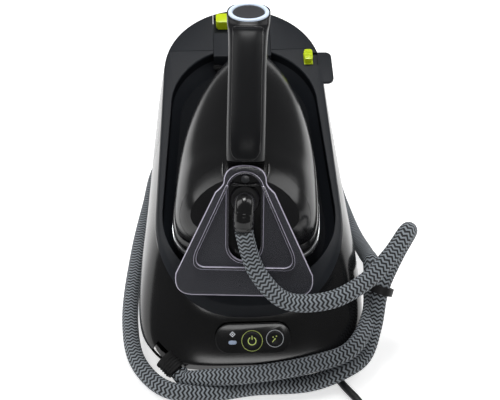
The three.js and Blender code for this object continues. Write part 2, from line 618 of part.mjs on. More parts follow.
const hoseAhead = hoseLine.slice(0, HOSE_SPLIT).concat(hoseLine[HOSE_SPLIT].clone().lerp(hoseLine[HOSE_SPLIT - 1], SPLIT_GAP));
part("steam_hose_upper", sweep(new THREE.CatmullRomCurve3(hoseAhead), HOSE_R, { steps: 6, sides: 10 }), braid);
part("steam_hose", sweep(new THREE.CatmullRomCurve3(hoseLine.slice(HOSE_SPLIT)), HOSE_R, { steps: 70, sides: 10 }), braid);

part("hose_gland", join(
  aim(disc(8.4, -4, 10, { sides: 16 }), HOSE_GLAND.at, HOSE_GLAND.way),
  cut(aim(disc(10.6, 0, 16, { sides: 16, top: 9.4 }), HOSE_GLAND.at, HOSE_GLAND.way), outerForm(-GAP, DECK_THICK)),
), rubber);

// The strap that ties two runs of the hose together: a flat ring round both, square to them.
function hoseTie() {
  const [a, b] = [V(116, -134.5, 62), V(110.5, -121.5, 53)];
  const way = V(-0.3, -0.62, -0.72).normalize();
  const across = a.clone().sub(b).addScaledVector(way, -a.clone().sub(b).dot(way));
  const half = across.length() / 2;
  const track = (r) => {
    const shape = new THREE.Shape();
    shape.absarc(half, 0, r, -Math.PI / 2, Math.PI / 2);
    shape.absarc(-half, 0, r, Math.PI / 2, 1.5 * Math.PI);
    return shape;
  };
  const band = track(HOSE_R + 3.7);
  band.holes.push(track(HOSE_R + 2.2));
  const geometry = new THREE.ExtrudeGeometry(band, { depth: 7, bevelEnabled: false, curveSegments: 8 });
  const [u, w] = [across.normalize(), way.clone().cross(across)];
  return geometry.translate(0, 0, -3.5).applyMatrix4(new THREE.Matrix4().makeBasis(u, w, way))
    .translate((a.x + b.x) / 2, (a.y + b.y) / 2, (a.z + b.z) / 2);
}
part("hose_tie", hoseTie(), softBlack);

// ---------------------------------------------------------------- mains lead

const COIL = { x: 112, y: -272, inner: 22.4, outer: 53, height: 14.6 };
part("mains_gland", box(67, 77, -175.5, -169.6, 4.4, 9.6), rubber);
const leadRoute = [[72, -176.8, 6.8], [73.5, -183, 4.4], [80, -195, 3.7], [88, -207, 3.7], [95.5, -217.4, 3.7]];
part("mains_lead", sweep(smooth(leadRoute), LEAD_R, { steps: 8, sides: 10 }), softBlack);
part("mains_coil", ring(COIL.outer, COIL.inner, 0.2, COIL.height, 32).translate(COIL.x, COIL.y, 0), softBlack);
part("mains_plug", join(
  disc(4.4, -48, -24, { sides: 12, top: 7 }), disc(13, -24, 6, { sides: 20 }), disc(2.4, 6, 25, { x: -9.5, sides: 10 }),
  disc(2.4, 6, 25, { x: 9.5, sides: 10 }),
).rotateX(Math.PI / 2).rotateZ(-Math.PI / 2).translate(COIL.x - 77.5, COIL.y - 49, 13.3), softBlack);

export default station;
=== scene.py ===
import json
import math

import bmesh
import bpy
from mathutils import Matrix, Vector


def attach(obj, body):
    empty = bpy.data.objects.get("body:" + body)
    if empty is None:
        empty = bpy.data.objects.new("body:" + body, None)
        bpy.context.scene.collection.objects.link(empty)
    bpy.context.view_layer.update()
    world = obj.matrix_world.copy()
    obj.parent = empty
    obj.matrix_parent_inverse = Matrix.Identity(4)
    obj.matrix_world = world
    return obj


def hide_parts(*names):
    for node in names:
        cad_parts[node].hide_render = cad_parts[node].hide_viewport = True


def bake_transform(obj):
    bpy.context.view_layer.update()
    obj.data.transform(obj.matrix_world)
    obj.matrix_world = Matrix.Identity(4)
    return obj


# A compact steam ironing station: an iron docked on its base, with a woven hose and a mains lead.
# Shapes are worked out in millimetres and written to meshes in metres.
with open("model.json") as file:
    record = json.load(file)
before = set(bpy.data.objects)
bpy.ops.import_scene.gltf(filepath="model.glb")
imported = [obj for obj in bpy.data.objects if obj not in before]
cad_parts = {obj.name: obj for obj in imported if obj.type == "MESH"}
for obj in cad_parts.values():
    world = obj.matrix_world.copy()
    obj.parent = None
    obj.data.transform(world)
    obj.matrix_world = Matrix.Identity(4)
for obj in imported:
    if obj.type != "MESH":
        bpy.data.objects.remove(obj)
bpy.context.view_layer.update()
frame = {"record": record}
scene = bpy.context.scene
mm = 0.001

# ---- camera


def makeCamera(eye, toward, lens, shift):
    data = bpy.data.cameras.new("camera")
    data.lens = lens
    data.sensor_width = 36
    data.shift_x = shift
    data.clip_start = 0.05
    camera = bpy.data.objects.new("camera", data)
    scene.collection.objects.link(camera)
    camera.location = Vector(eye) * mm
    camera.rotation_euler = Vector(toward).to_track_quat("-Z", "Y").to_euler()
    scene.camera = camera


makeCamera(eye=(-21.9, -646.4, 635.1), toward=(0.0259, 0.7427, -0.6691), lens=61.56, shift=0.006)
print("camera ready")

# ---- shader helper: a wire is a socket that takes part in sums


class Wire:
    def __init__(self, shop, socket):
        self.shop = shop
        self.socket = socket

    def maths(self, operation, *others):
        return self.shop.node("ShaderNodeMath", {"operation": operation}, [self, *others])

    def __add__(self, other):
        return self.maths("ADD", other)

    __radd__ = __add__

    def __sub__(self, other):
        return self.maths("SUBTRACT", other)

    def __rsub__(self, other):
        return self.shop.node("ShaderNodeMath", {"operation": "SUBTRACT"}, [other, self])

    def __mul__(self, other):
        return self.maths("MULTIPLY", other)

    __rmul__ = __mul__

    def __truediv__(self, other):
        return self.maths("DIVIDE", other)

    def wrapped(self, period):
        return self.maths("MODULO", period)

    def size(self):
        return self.maths("ABSOLUTE")

    def between(self, low, high):
        return self.shop.node(
            "ShaderNodeMapRange",
            {"interpolation_type": "SMOOTHSTEP"},
            {"Value": self, "From Min": low, "From Max": high, "To Min": 0.0, "To Max": 1.0},
        )


class Finish:
    # a material with one Principled shader, and a method that adds any other node
    def __init__(self, name, **constants):
        self.material = bpy.data.materials.new(name)
        self.material.use_nodes = True
        self.tree = self.material.node_tree
        self.shader = self.tree.nodes["Principled BSDF"]
        for socket, value in constants.items():
            self.set(socket.replace("_", " "), value)

    def set(self, socket, value):
        self.feed(self.shader.inputs[socket], value)

    def feed(self, target, value):
        # a link, a colour with its alpha, or a plain constant
        if isinstance(value, Wire):
            self.tree.links.new(value.socket, target)
        elif target.type == "RGBA":
            target.default_value = (*value, 1.0)[:4]
        else:
            target.default_value = value

    def node(self, kind, settings=None, values=None, output=0):
        made = self.tree.nodes.new(kind)
        for key, value in (settings or {}).items():
            setattr(made, key, value)
        pairs = values.items() if isinstance(values, dict) else enumerate(values or [])
        for key, value in pairs:
            self.feed(made.inputs[key], value)
        return Wire(self, made.outputs[output])

    def place(self):
        return self.node("ShaderNodeTexCoord", output="Object")

    def part(self, vector, axis):
        return self.node("ShaderNodeSeparateXYZ", values=[vector], output=axis)

    def noise(self, scale, detail=3.0, rough=0.55, where=None):
        values = {"Vector": where or self.place(), "Scale": scale, "Detail": detail, "Roughness": rough}
        return self.node("ShaderNodeTexNoise", values=values, output="Fac")

    def mix(self, amount, first, second):
        wires = self.tree.nodes.new("ShaderNodeMix")
        wires.data_type = "RGBA"
        for key, value in ((0, amount), (6, first), (7, second)):
            self.feed(wires.inputs[key], value)
        return Wire(self, wires.outputs[2])

    def bump(self, height, strength, depth):
        values = {"Height": height, "Strength": strength, "Distance": depth}
        return self.node("ShaderNodeBump", values=values)


# ---- materials


def mouldedPlastic(name, colour, rough, shine=0.35, grain=0.0, grainSize=900.0):
    # satin or gloss moulding: faint cloudiness in the gloss, and a fine grain where it is matte
    made = Finish(name, IOR=1.49, Specular_IOR_Level=shine)
    cloud = made.noise(38.0, 2.0)
    speck = made.noise(grainSize, 2.0, 0.6)
    made.set("Base Color", made.mix(cloud, [c * 0.86 for c in colour], [c * 1.14 for c in colour]))
    made.set("Roughness", rough + (cloud - 0.5) * 0.06 + (speck - 0.5) * grain * 0.3)
    if grain:
        made.set("Normal", made.bump(speck, min(1.0, grain), 0.0002))
    return made.material


def clearPlastic(name, colour, rough, solid, shine, paintedGlow=0.0):
    # see-through moulding, denser where it is seen edge on
    made = Finish(name, IOR=1.49, Specular_IOR_Level=shine)
    haze = made.noise(24.0, 3.0)
    made.set("Base Color", made.mix(haze, [c * 0.92 for c in colour], colour))
    made.set("Emission Color", colour)
    made.set("Emission Strength", paintedGlow)  # painted glow: emission that makes the moulding's edges look lit, though it is no lamp
    made.set("Roughness", rough + haze * 0.03)
    facing = made.node("ShaderNodeLayerWeight", values={"Blend": 0.35}, output="Facing")
    made.set("Alpha", (facing * (0.95 - solid) + solid).maths("MINIMUM", 1.0))
    return made.material


def bareMetal(name, colour, rough, brushed=True):
    made = Finish(name, Metallic=1.0)
    where = made.place()
    stretched = made.node("ShaderNodeMapping", values={"Vector": where, "Scale": (60.0, 900.0, 900.0)})
    lines = made.noise(1.0, 4.0, 0.6, stretched) if brushed else made.noise(420.0, 3.0, 0.6)
    made.set("Base Color", made.mix(lines, [c * 0.85 for c in colour], colour))
    made.set("Roughness", rough + (lines - 0.5) * 0.18)
    made.set("Normal", made.bump(lines, 0.15, 0.0001))
    return made.material


def softRubber(name, colour):
    made = Finish(name, IOR=1.5, Specular_IOR_Level=0.3)
    fine = made.noise(1400.0, 2.0, 0.7)
    dust = made.noise(60.0, 4.0)
    made.set("Base Color", made.mix(dust.between(0.45, 0.8), colour, [c + 0.012 for c in colour]))
    made.set("Roughness", 0.62 + (fine - 0.5) * 0.2)
    made.set("Normal", made.bump(fine, 0.3, 0.0001))
    return made.material


def glowing(name, colour, strength):
    made = Finish(name, Roughness=0.35)
    soft = made.noise(90.0, 2.0)
    shade = made.mix(soft, [c * 0.92 for c in colour], colour)
    made.set("Base Color", shade)
    made.set("Emission Color", shade)
    made.set("Emission Strength", strength)
    return made.material


wovenHose = dict(pitch=3.7, waves=8, swing=1.0, dark=(0.006, 0.0065, 0.0075), light=(0.33, 0.365, 0.4))


def wovenBraid():
    # rows of zigzag stitches: u runs once round the hose and v counts millimetres along it
    made = Finish("wovenBraid", Roughness=0.8)
    flat = made.node("ShaderNodeUVMap", {"uv_map": "weave"})
    around, along = made.part(flat, 0), made.part(flat, 1)
    saw = (around * wovenHose["waves"]).wrapped(1.0)
    zigzag = (saw - 0.5).size() * 2.0
    wander = made.noise(120.0, 2.0) * 0.5
    row = ((along + zigzag * wovenHose["swing"] * 2.0 + wander) / wovenHose["pitch"]).wrapped(1.0)
    light = (row - 0.5).size().between(0.22, 0.31)
    ply = ((around * 90.0 + along * 0.9).wrapped(1.0) - 0.5).size()
    tuft = made.noise(2600.0, 2.0, 0.6)
    shade = made.mix(light, wovenHose["dark"], wovenHose["light"])
    worn = made.mix(made.noise(16.0, 3.0).between(0.35, 0.8) * 0.18, shade, (0.09, 0.1, 0.112))
    made.set("Base Color", made.mix(tuft * 0.28, worn, (0.02, 0.022, 0.026)))
    made.set("Roughness", 0.72 + (tuft - 0.5) * 0.3)
    made.set("Normal", made.bump(light * 0.6 + ply * 0.5 + tuft * 0.4, 0.7, 0.0006))
    return made.material


def family(maker, **rows):
    return {name: maker(name, *row) for name, row in rows.items()}


# plastic: colour, roughness, shine, grain and grain size; clear: colour, roughness, solidity, shine, painted
# glow
looks = {
    **family(
        mouldedPlastic,
        glossBlack=((0.0072, 0.0073, 0.0078), 0.17, 0.4),
        ironBlack=((0.0068, 0.0069, 0.0076), 0.2, 0.36),
        deckGrey=((0.0125, 0.0145, 0.0185), 0.5, 0.2, 0.4, 2400.0),
        trayGrey=((0.0075, 0.0085, 0.0105), 0.6, 0.04, 0.3, 2400.0),
        handleSatin=((0.0095, 0.0098, 0.011), 0.26, 0.16, 0.1, 3000.0),
        gripSatin=((0.0085, 0.0088, 0.0098), 0.34, 0.14, 0.2, 3200.0),
        plainBlack=((0.007, 0.007, 0.0078), 0.45, 0.25, 0.4, 1800.0),
        lime=((0.58, 0.72, 0.01), 0.3, 0.35, 0.1),
        lensGrey=((0.05, 0.052, 0.056), 0.22),
        leadPvc=((0.01, 0.01, 0.011), 0.42, 0.35, 0.2),
        boardGreen=((0.01, 0.09, 0.035), 0.4),
    ),
    **family(
        clearPlastic,
        smokedTank=((0.02, 0.02, 0.022), 0.16, 0.72, 0.3),
        clearHeel=((0.062, 0.063, 0.073), 0.12, 0.82, 0.35),
        # a lighter, glowing copy of the heel's clear plastic for its edge faces: painted highlight
        clearEdge=((0.5, 0.47, 0.58), 0.1, 0.9, 0.8, 0.14),
    ),
    **family(
        glowing,
        ringGlow=((0.66, 0.76, 0.9), 0.35),
        pilotBlue=((0.34, 0.42, 0.56), 0.12),
        symbolWhite=((0.75, 0.78, 0.82), 0.1),
        symbolLime=((0.62, 0.74, 0.2), 0.15),
    ),
    **family(softRubber, rubber=[(0.0065, 0.0065, 0.007)], silicone=[(0.03, 0.033, 0.037)]),
    **family(
        bareMetal,
        steel=((0.6, 0.61, 0.62), 0.28),
        sole=((0.56, 0.57, 0.58), 0.34, False),
        cast=((0.45, 0.46, 0.47), 0.5, False),
        brass=((0.62, 0.47, 0.2), 0.3),
    ),
    "braid": wovenBraid(),
}
print("materials ready")

# ---- mesh helpers


def point(x, y, z):
    return Vector((x, y, z))


def blendValue(a, b, t):
    return a + (b - a) * t


def smoothStep(x, low, high):
    t = min(1.0, max(0.0, (x - low) / (high - low)))
    return t * t * (3 - 2 * t)


def dress(obj, look, angle):
    # soft shading with sharp creases, and one material
    obj.data.polygons.foreach_set("use_smooth", [True] * len(obj.data.polygons))
    obj.data.set_sharp_from_angle(angle=math.radians(angle))
    obj.data.materials.clear()
    obj.data.materials.append(looks[look])
    return obj


def finishMesh(obj, look, angle):
    # one skin with its faces outwards
    work = bmesh.new()
    work.from_mesh(obj.data)
    bmesh.ops.remove_doubles(work, verts=work.verts, dist=2e-6)
    bmesh.ops.recalc_face_normals(work, faces=work.faces)
    work.to_mesh(obj.data)
    work.free()
    return dress(obj, look, angle)


def meshObject(name, points, faces):
    data = bpy.data.meshes.new(name)
    data.from_pydata([tuple(p * mm) for p in points], [], faces)
    work = bmesh.new()
    work.from_mesh(data)
    bmesh.ops.recalc_face_normals(work, faces=work.faces)
    work.to_mesh(data)
    work.free()
    obj = bpy.data.objects.new(name, data)
    scene.collection.objects.link(obj)
    return obj


def loft(name, rings, seam=None, caps=True):
    # a skin through closed rings; seam gives the points where left and right sides meet, for strip caps
    n = len(rings[0])
    faces = []
    for r in range(len(rings) - 1):
        low, high = r * n, (r + 1) * n
        for k in range(n):
            j = (k + 1) % n
            faces.append((low + k, low + j, high + j, high + k))
    if caps:
        for start in (0, (len(rings) - 1) * n):
            if seam is None:
                faces.append([start + k for k in range(n)])
                continue
            right, left = seam
            for s in range(n // 2):
                corners = [right - s, right - s - 1, left + s + 1, left + s]
                faces.append(list(dict.fromkeys(start + c % n for c in corners)))
    return meshObject(name, [p for ring in rings for p in ring], faces)


def prism(name, corners, low, high):
    # an upright block over a plan given as (x, y) corners
    rings = [[point(x, y, z) for x, y in corners] for z in (low, high)]
    return loft(name, rings)


def arc(cx, cy, r, start, end, steps):
    turns = [math.radians(blendValue(start, end, k / steps)) for k in range(steps + 1)]
    return [(cx + r * math.cos(a), cy + r * math.sin(a)) for a in turns]


def roundedPlan(width, length, corner, steps=8):
    w, h = width / 2 - corner, length / 2 - corner
    quarters = [(w, -h, -90), (w, h, 0), (-w, h, 90), (-w, -h, 180)]
    return [p for cx, cy, a in quarters for p in arc(cx, cy, corner, a, a + 90, steps)]


def turned(name, profile, sides=64):
    # a body of revolution about Z from (radius, height) pairs; a closed profile makes a ring
    rings = []
    for r, z in profile:
        turns = [2 * math.pi * k / sides for k in range(sides)]
        rings.append([point(max(r, 0.001) * math.cos(a), max(r, 0.001) * math.sin(a), z) for a in turns])
    closed = profile[0] == profile[-1]
    return loft(name, rings, caps=not closed)


def moved(obj, matrix):
    # matrix is in millimetres
    obj.data.transform(Matrix.Diagonal((mm, mm, mm, 1)) @ matrix @ Matrix.Diagonal((1000, 1000, 1000, 1)))
    return obj


def shift(x, y, z):
    return Matrix.Translation((x, y, z))


def spin(axis, degrees):
    return Matrix.Rotation(math.radians(degrees), 4, axis)


def settle(obj):
    # turns an object and its modifiers into a plain mesh
    bpy.context.view_layer.update()
    graph = bpy.context.evaluated_depsgraph_get()
    data = bpy.data.meshes.new_from_object(obj.evaluated_get(graph), depsgraph=graph)
    data.name = obj.name
    obj.modifiers.clear()
    obj.data = data
    return obj


def meshVolume(obj):
    work = bmesh.new()
    work.from_mesh(obj.data)
    volume = work.calc_volume(signed=False)
    work.free()
    return volume


def carve(obj, tools, how="DIFFERENCE"):
    # a cut that changes nothing means an open mesh, so the script stops rather than leaving a solid lump
    for tool in tools:
        before = meshVolume(obj)
        edit = obj.modifiers.new("carve", "BOOLEAN")
        edit.operation = how
        edit.solver = "MANIFOLD"
        edit.object = tool
        settle(obj)
        after = meshVolume(obj)
        if abs(after - before) < 1e-13 or after < 1e-13:
            raise RuntimeError(f"{obj.name}: the {how.lower()} with {tool.name} did nothing")
        bpy.data.objects.remove(tool)
    return obj


def soften(obj, width, segments=3, angle=40.0):
    edit = obj.modifiers.new("soften", "BEVEL")
    edit.width = width * mm
    edit.segments = segments
    edit.limit_method = "ANGLE"
    edit.angle_limit = math.radians(angle)
    edit.use_clamp_overlap = True
    return settle(obj)


def joined(name, *objs):
    # several loose shells in one mesh
    work = bmesh.new()
    for obj in objs:
        work.from_mesh(obj.data)
        bpy.data.objects.remove(obj)
    data = bpy.data.meshes.new(name)
    work.to_mesh(data)
    work.free()
    made = bpy.data.objects.new(name, data)
    scene.collection.objects.link(made)
    return made


def place(obj, body, slotName, *nodes):
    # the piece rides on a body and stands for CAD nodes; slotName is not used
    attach(obj, body)
    if nodes:
        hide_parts(*nodes)
    return obj


def centripetal(points, steps):
    # a centripetal Catmull-Rom curve through given points, as an even run of steps + 1 points
    ends = [points[0] * 2 - points[1], *points, points[-1] * 2 - points[-2]]
    fine = []
    for i in range(len(points) - 1):
        p = ends[i : i + 4]
        t = [0.0]
        for a, b in zip(p, p[1:]):
            t.append(t[-1] + max((b - a).length, 1e-6) ** 0.5)
        for k in range(40):
            s = blendValue(t[1], t[2], k / 40)
            a1, a2, a3 = (p[j].lerp(p[j + 1], (s - t[j]) / (t[j + 1] - t[j])) for j in range(3))
            b1 = a1.lerp(a2, (s - t[0]) / (t[2] - t[0]))
            b2 = a2.lerp(a3, (s - t[1]) / (t[3] - t[1]))
            fine.append(b1.lerp(b2, (s - t[1]) / (t[2] - t[1])))
    fine.append(points[-1])
    return evenly(fine, steps)


def evenly(points, steps):
    reach = [0.0]
    for a, b in zip(points, points[1:]):
        reach.append(reach[-1] + (b - a).length)
    result, k = [], 0
    for i in range(steps + 1):
        want = reach[-1] * i / steps
        while k < len(points) - 2 and reach[k + 1] < want:
            k += 1
        part = (want - reach[k]) / max(reach[k + 1] - reach[k], 1e-9)
        result.append(points[k].lerp(points[k + 1], min(1.0, part)))
    return result


def sweep(name, path, radiusAt, sides, uv=None):
    # a closed tube along a path, its frame carried along without twisting
    last = len(path) - 1
    tangents = [(path[min(i + 1, last)] - path[max(i - 1, 0)]).normalized() for i in range(last + 1)]
    side = tangents[0].cross(Vector((0.3, 0.2, 1))).normalized()
    rings, run, runs = [], 0.0, []
    for i, (p, t) in enumerate(zip(path, tangents)):
        side = (side - t * side.dot(t)).normalized()
        other = t.cross(side)
        r = radiusAt(i / last)
        turns = [2 * math.pi * k / sides for k in range(sides)]
        rings.append([p + side * (r * math.cos(a)) + other * (r * math.sin(a)) for a in turns])
        run += (p - path[i - 1]).length if i else 0.0
        runs.append(run)
    obj = loft(name, rings)
    if uv:
        layer = obj.data.uv_layers.new(name=uv)
        for face in obj.data.polygons:
            corners = [(v // sides, v % sides) for v in face.vertices]
            wrap = len(corners) == 4 and {c[1] for c in corners} == {0, sides - 1}
            for loop, (row, column) in zip(face.loop_indices, corners):
                turn = (column or sides) if wrap else column
                layer.data[loop].uv = (turn / sides, runs[row])
    return obj


# ---- the steam hose

hose = dict(radius=7.6, steps=520, sides=26, bendFrom=(0, 0, 150), bendTo=(0, 0, 82))
hoseRoute = [
    (-7.1, -141, 146.6), (-3, -147, 128), (4, -157, 112), (26, -172, 94), (62, -174, 94), (94, -160, 100),
    (118, -141, 112), (134, -121, 119), (140, -107, 106), (130, -114, 84), (116, -134, 62), (109.5, -154, 34),
    (99, -174, 18), (79, -188.5, 16.4), (50, -195, 9), (0, -197, 8.1), (-44, -202, 8.1), (-78, -196, 8.1),
    (-103, -168, 8.1), (-114, -120, 8.1), (-112, -30, 8.1), (-104, 45, 8.1), (-96, 105, 8.1), (-70, 158, 8.1),
    (0, 185, 8.1), (70, 158, 8.1), (96, 105, 8.1), (104, 45, 8.1), (111, -12, 14), (114.5, -66, 38),
    (112, -104, 62), (110.5, -122, 53), (107, -145, 40), (86, -178, 33), (50, -190, 29), (0, -195, 24),
    (-34, -193, 18.5), (-61.5, -188, 12), (-66.4, -182.9, 14.5),
]


def pathLength(points):
    return sum((b - a).length for a, b in zip(points, points[1:])) * mm


hosePath = centripetal([point(*p) for p in hoseRoute], hose["steps"])
steamHose = sweep("steamHose", hosePath, lambda t: hose["radius"], hose["sides"], uv="weave")
finishMesh(steamHose, "braid", 60)
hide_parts("steam_hose", "steam_hose_upper")
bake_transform(steamHose)
round(pathLength(hosePath), 3)
[tuple(p * mm) for p in hosePath]
print("steam hose", round(pathLength(hosePath), 3), "m")

# ---- the mains lead

lead = dict(
    radius=3.5, centre=(112, -272), outer=49, pitch=7, spiral=3.243, joinAt=85, low=3.7, high=10.8,
    plugX=82.5, plugZ=13.3,
)
leadRoute = [(72, -176.8, 6.8), (73.5, -183, 4.4), (80, -195, 3.7), (88, -207, 3.7), (95.5, -217.4, 3.7)]


def leadCoil():
    # clockwise: inwards on the floor, one turn up, then outwards on top, ending at the coil's front
    turns, points = 2 * lead["spiral"] + 1, []
    steps = int(turns * 36)
    inner = lead["outer"] - lead["pitch"] * lead["spiral"]
    cx, cy = lead["centre"]
    for k in range(steps + 1):
        s = turns * k / steps
        r = max(inner, lead["outer"] - lead["pitch"] * s, inner + lead["pitch"] * (s - lead["spiral"] - 1))
        z = blendValue(lead["low"], lead["high"], smoothStep(s, lead["spiral"], lead["spiral"] + 1))
        a = math.radians(lead["joinAt"] - 360 * s)
        points.append(point(cx + r * math.cos(a), cy + r * math.sin(a), z))
    return points


def mainsLead():
    last = point(lead["plugX"], lead["centre"][1] - lead["outer"], lead["plugZ"])
    route = [*(point(*p) for p in leadRoute), *leadCoil(), last + point(12, 0, -0.8), last]
    path = centripetal(route, 700)
    data = bpy.data.curves.new("mainsLead", "CURVE")
    data.dimensions = "3D"
    data.bevel_depth = lead["radius"] * mm
    data.bevel_resolution = 4
    data.use_fill_caps = True
    line = data.splines.new("POLY")
    line.points.add(len(path) - 1)
    for knot, p in zip(line.points, path):
        knot.co = (*(p * mm), 1)
    data.materials.append(looks["leadPvc"])
    line.use_smooth = True
    obj = bpy.data.objects.new("mainsLead", data)
    scene.collection.objects.link(obj)
    return obj, path


leadPiece, leadPath = mainsLead()
place(leadPiece, "base", "black_plastic", "mains_lead", "mains_coil")
round(pathLength(leadPath), 3)
print("mains lead", round(pathLength(leadPath), 3), "m")

# ---- the base's outer form

slope = math.radians(14)
base = dict(
    backY=184, deckBackZ=164.8, skirtZ=22, footZ=10, dipStart=-96, dipDepth=16.5, rimFront=-151, wall=2.6,
    gap=0.4, deckThick=4, sideEase=1.8, backTuck=10, trayDepth=22, tankFront=20, tankLow=24, coverY=127,
    coreHalf=60, coreBack=112, bridgeHalf=30, bridgeFront=119, bridgeDepth=11,
    tabX=81, tabY=102, sliderX=68.3, sliderY=113.5, knobY=160,
)
footprintForm = dict(back=98, backY=86, front=105, frontY=-75, reach=108.5, power=4)
rimForm = dict(back=81, backY=104, front=84, frontY=-66, reach=85, power=2.4)
trayForm = dict(back=73, backY=57, front=79, frontY=-66, reach=71, power=2.4)
outlineSteps = dict(arc=60, flank=14, front=80)
seam = (outlineSteps["arc"] // 2, outlineSteps["arc"] // 2)


def clamp(x):
    return min(1.0, max(0.0, x))


def bulge(c, power):
    return math.copysign(abs(c) ** (2 / power), c)


def planeZ(y):
    return base["deckBackZ"] + (y - base["backY"]) * math.tan(slope)


def deckZ(y):
    dip = max(0.0, (base["dipStart"] - y) / (base["dipStart"] - base["rimFront"]))
    return planeZ(y) - base["dipDepth"] * dip ** 2


def outline(form):
    # a half circle behind, straight flanks and a superellipse in front, counter-clockwise
    back, backY, front, frontY = form["back"], form["backY"], form["front"], form["frontY"]
    arcSteps, flankSteps, frontSteps = outlineSteps["arc"], outlineSteps["flank"], outlineSteps["front"]
    turns = [math.pi * k / arcSteps for k in range(arcSteps + 1)]
    points = [(back * math.cos(a), backY + back * math.sin(a)) for a in turns]
    shares = [k / flankSteps for k in range(1, flankSteps)]
    flank = [(blendValue(back, front, t), blendValue(backY, frontY, t)) for t in shares]
    points += [(-x, y) for x, y in flank]
    for k in range(frontSteps + 1):
        a = math.pi + math.pi * k / frontSteps
        across, ahead = bulge(math.cos(a), form["power"]), bulge(math.sin(a), form["power"])
        points.append((front * across, frontY + form["reach"] * ahead))
    return points + flank[::-1]


def inset(points, distance):
    by = distance if callable(distance) else lambda x, y: distance
    n, result = len(points), []
    for k, (x, y) in enumerate(points):
        ax, ay = points[k - 1]
        cx, cy = points[(k + 1) % n]
        step = by(x, y) / math.hypot(cx - ax, cy - ay)
        result.append((x - step * (cy - ay), y + step * (cx - ax)))
    return result


footprint, rim, trayEdge = outline(footprintForm), outline(rimForm), outline(trayForm)


def bodyRing(levelAt, distance=0.0):
    placed = []
    for (fx, fy), (rx, ry) in zip(footprint, rim):
        x, y = rx, ry
        for settlePass in range(3):
            ease = clamp((levelAt(y) - base["skirtZ"]) / (deckZ(y) - base["skirtZ"])) ** base["sideEase"]
            x, y = blendValue(fx, rx, ease), blendValue(fy, ry, ease)
        placed.append((x, y))

    def drawnIn(x, y):
        low = 1 - smoothStep(levelAt(y), base["skirtZ"], 75)
        return distance + base["backTuck"] * smoothStep(y, -60, 70) * low

    return [point(x, y, levelAt(own[1])) for (x, y), own in zip(inset(placed, drawnIn), placed)]


def flatRing(points, levelAt):
    return [point(x, y, levelAt(y)) for x, y in points]


def mould(name, rings):
    return loft(name, rings, seam)


def outerForm(name, distance, drop, low=None, tuck=4.0, steps=14):
    def levelAt(share):
        return lambda y: blendValue(base["skirtZ"], deckZ(y) - drop, share)

    rings = [bodyRing(levelAt(k / steps), distance) for k in range(steps + 1)]
    foot = base["footZ"] if low is None else low
    return mould(name, [bodyRing(lambda y: foot, distance + tuck), *rings])


def trayBlock(name, grow):
    low, high = inset(trayEdge, 9 - grow), inset(trayEdge, -base["wall"] - grow)
    return mould(name, [
        flatRing(low, lambda y: planeZ(y) - base["trayDepth"] - base["wall"] - grow),
        flatRing(high, lambda y: deckZ(y) - base["deckThick"] - grow),
        flatRing(high, lambda y: deckZ(y) + 30),
    ])


def block(x0, x1, y0, y1, z0, z1):
    # a cutting block; a side that only has to clear the object is 200 to 400 away
    return prism("tool", [(x0, y0), (x1, y0), (x1, y1), (x0, y1)], z0, z1)


def plate(name, width, length, corner, height, edge=0.0):
    obj = prism(name, roundedPlan(width, length, corner), 0, height)
    return soften(obj, edge, 3) if edge else obj


def onDeck(obj, y, lift=0.0):
    return moved(obj, shift(0, y, planeZ(y) + lift) @ spin("X", 14))


panel = dict(
    centre=(0, -172.2, 45), lean=39, width=66, height=26, corner=12,
    power=(-1, -2), mode=(19, -0.5), lamp=(-18, -3),
)


def onPanel(obj, x=0.0, y=0.0, out=0.0):
    return moved(obj, shift(*panel["centre"]) @ spin("X", 90 - panel["lean"]) @ shift(x, y, out))


def aimed(obj, at, way):
    turn = Vector((0, 0, 1)).rotation_difference(Vector(way)).to_matrix().to_4x4()
    return moved(obj, shift(*at) @ turn)


gland = dict(at=(-78, -171, 20), way=(0.66, -0.68, -0.32))


def disc(name, radius, low, high, top=None, sides=64):
    return turned(name, [(radius, low), (top or radius, high)], sides)


def makeHousing():
    shell = outerForm("housing", 0, base["deckThick"] + base["gap"])
    inner = outerForm("tool", base["wall"], -20, base["footZ"] - 1, 4)
    gap = base["gap"]
    pocket = plate("tool", panel["width"] + 2 * gap, panel["height"] + 2 * gap, panel["corner"] + gap, 20)
    hole = aimed(disc("tool", 8.8, -14, 14), gland["at"], gland["way"])
    tankSide = block(-200, 200, base["tankFront"], 300, base["tankLow"], 300)
    carve(shell, [inner, tankSide, onPanel(pocket, 0, 0, -9), hole])
    finishMesh(shell, "glossBlack", 30)
    place(shell, "base", "gloss_black", "base_housing")


def slabRings(lift=0.0):
    # the deck's rounded outer edge, from the underside up and over
    return [
        bodyRing(lambda y: deckZ(y) - base["deckThick"]),
        bodyRing(lambda y: deckZ(y) - 1.4),
        bodyRing(lambda y: deckZ(y) - 0.65, 0.12),
        bodyRing(lambda y: deckZ(y) - 0.2, 0.6),
        bodyRing(lambda y: deckZ(y), 1.5),
    ]


def dishRings():
    # over the band's inner edge, down the dish's wall and round onto its floor
    rings = []
    for grow, drop in ((-1.6, 0.0), (-0.6, 0.2), (-0.15, 0.7), (0.0, 1.5)):
        rings.append(flatRing(inset(trayEdge, grow), lambda y, d=drop: deckZ(y) - d))
    for k in range(1, 13):
        t = k / 12
        fall = 1 - (1 - t) ** 2.6

        def levelAt(y, fall=fall):
            return blendValue(deckZ(y) - 1.5, planeZ(y) - base["trayDepth"], fall)

        rings.append(flatRing(inset(trayEdge, 10.5 * t ** 2.2), levelAt))
    rings.append(flatRing(inset(trayEdge, 14), lambda y: planeZ(y) - base["trayDepth"] - 0.01))
    return rings


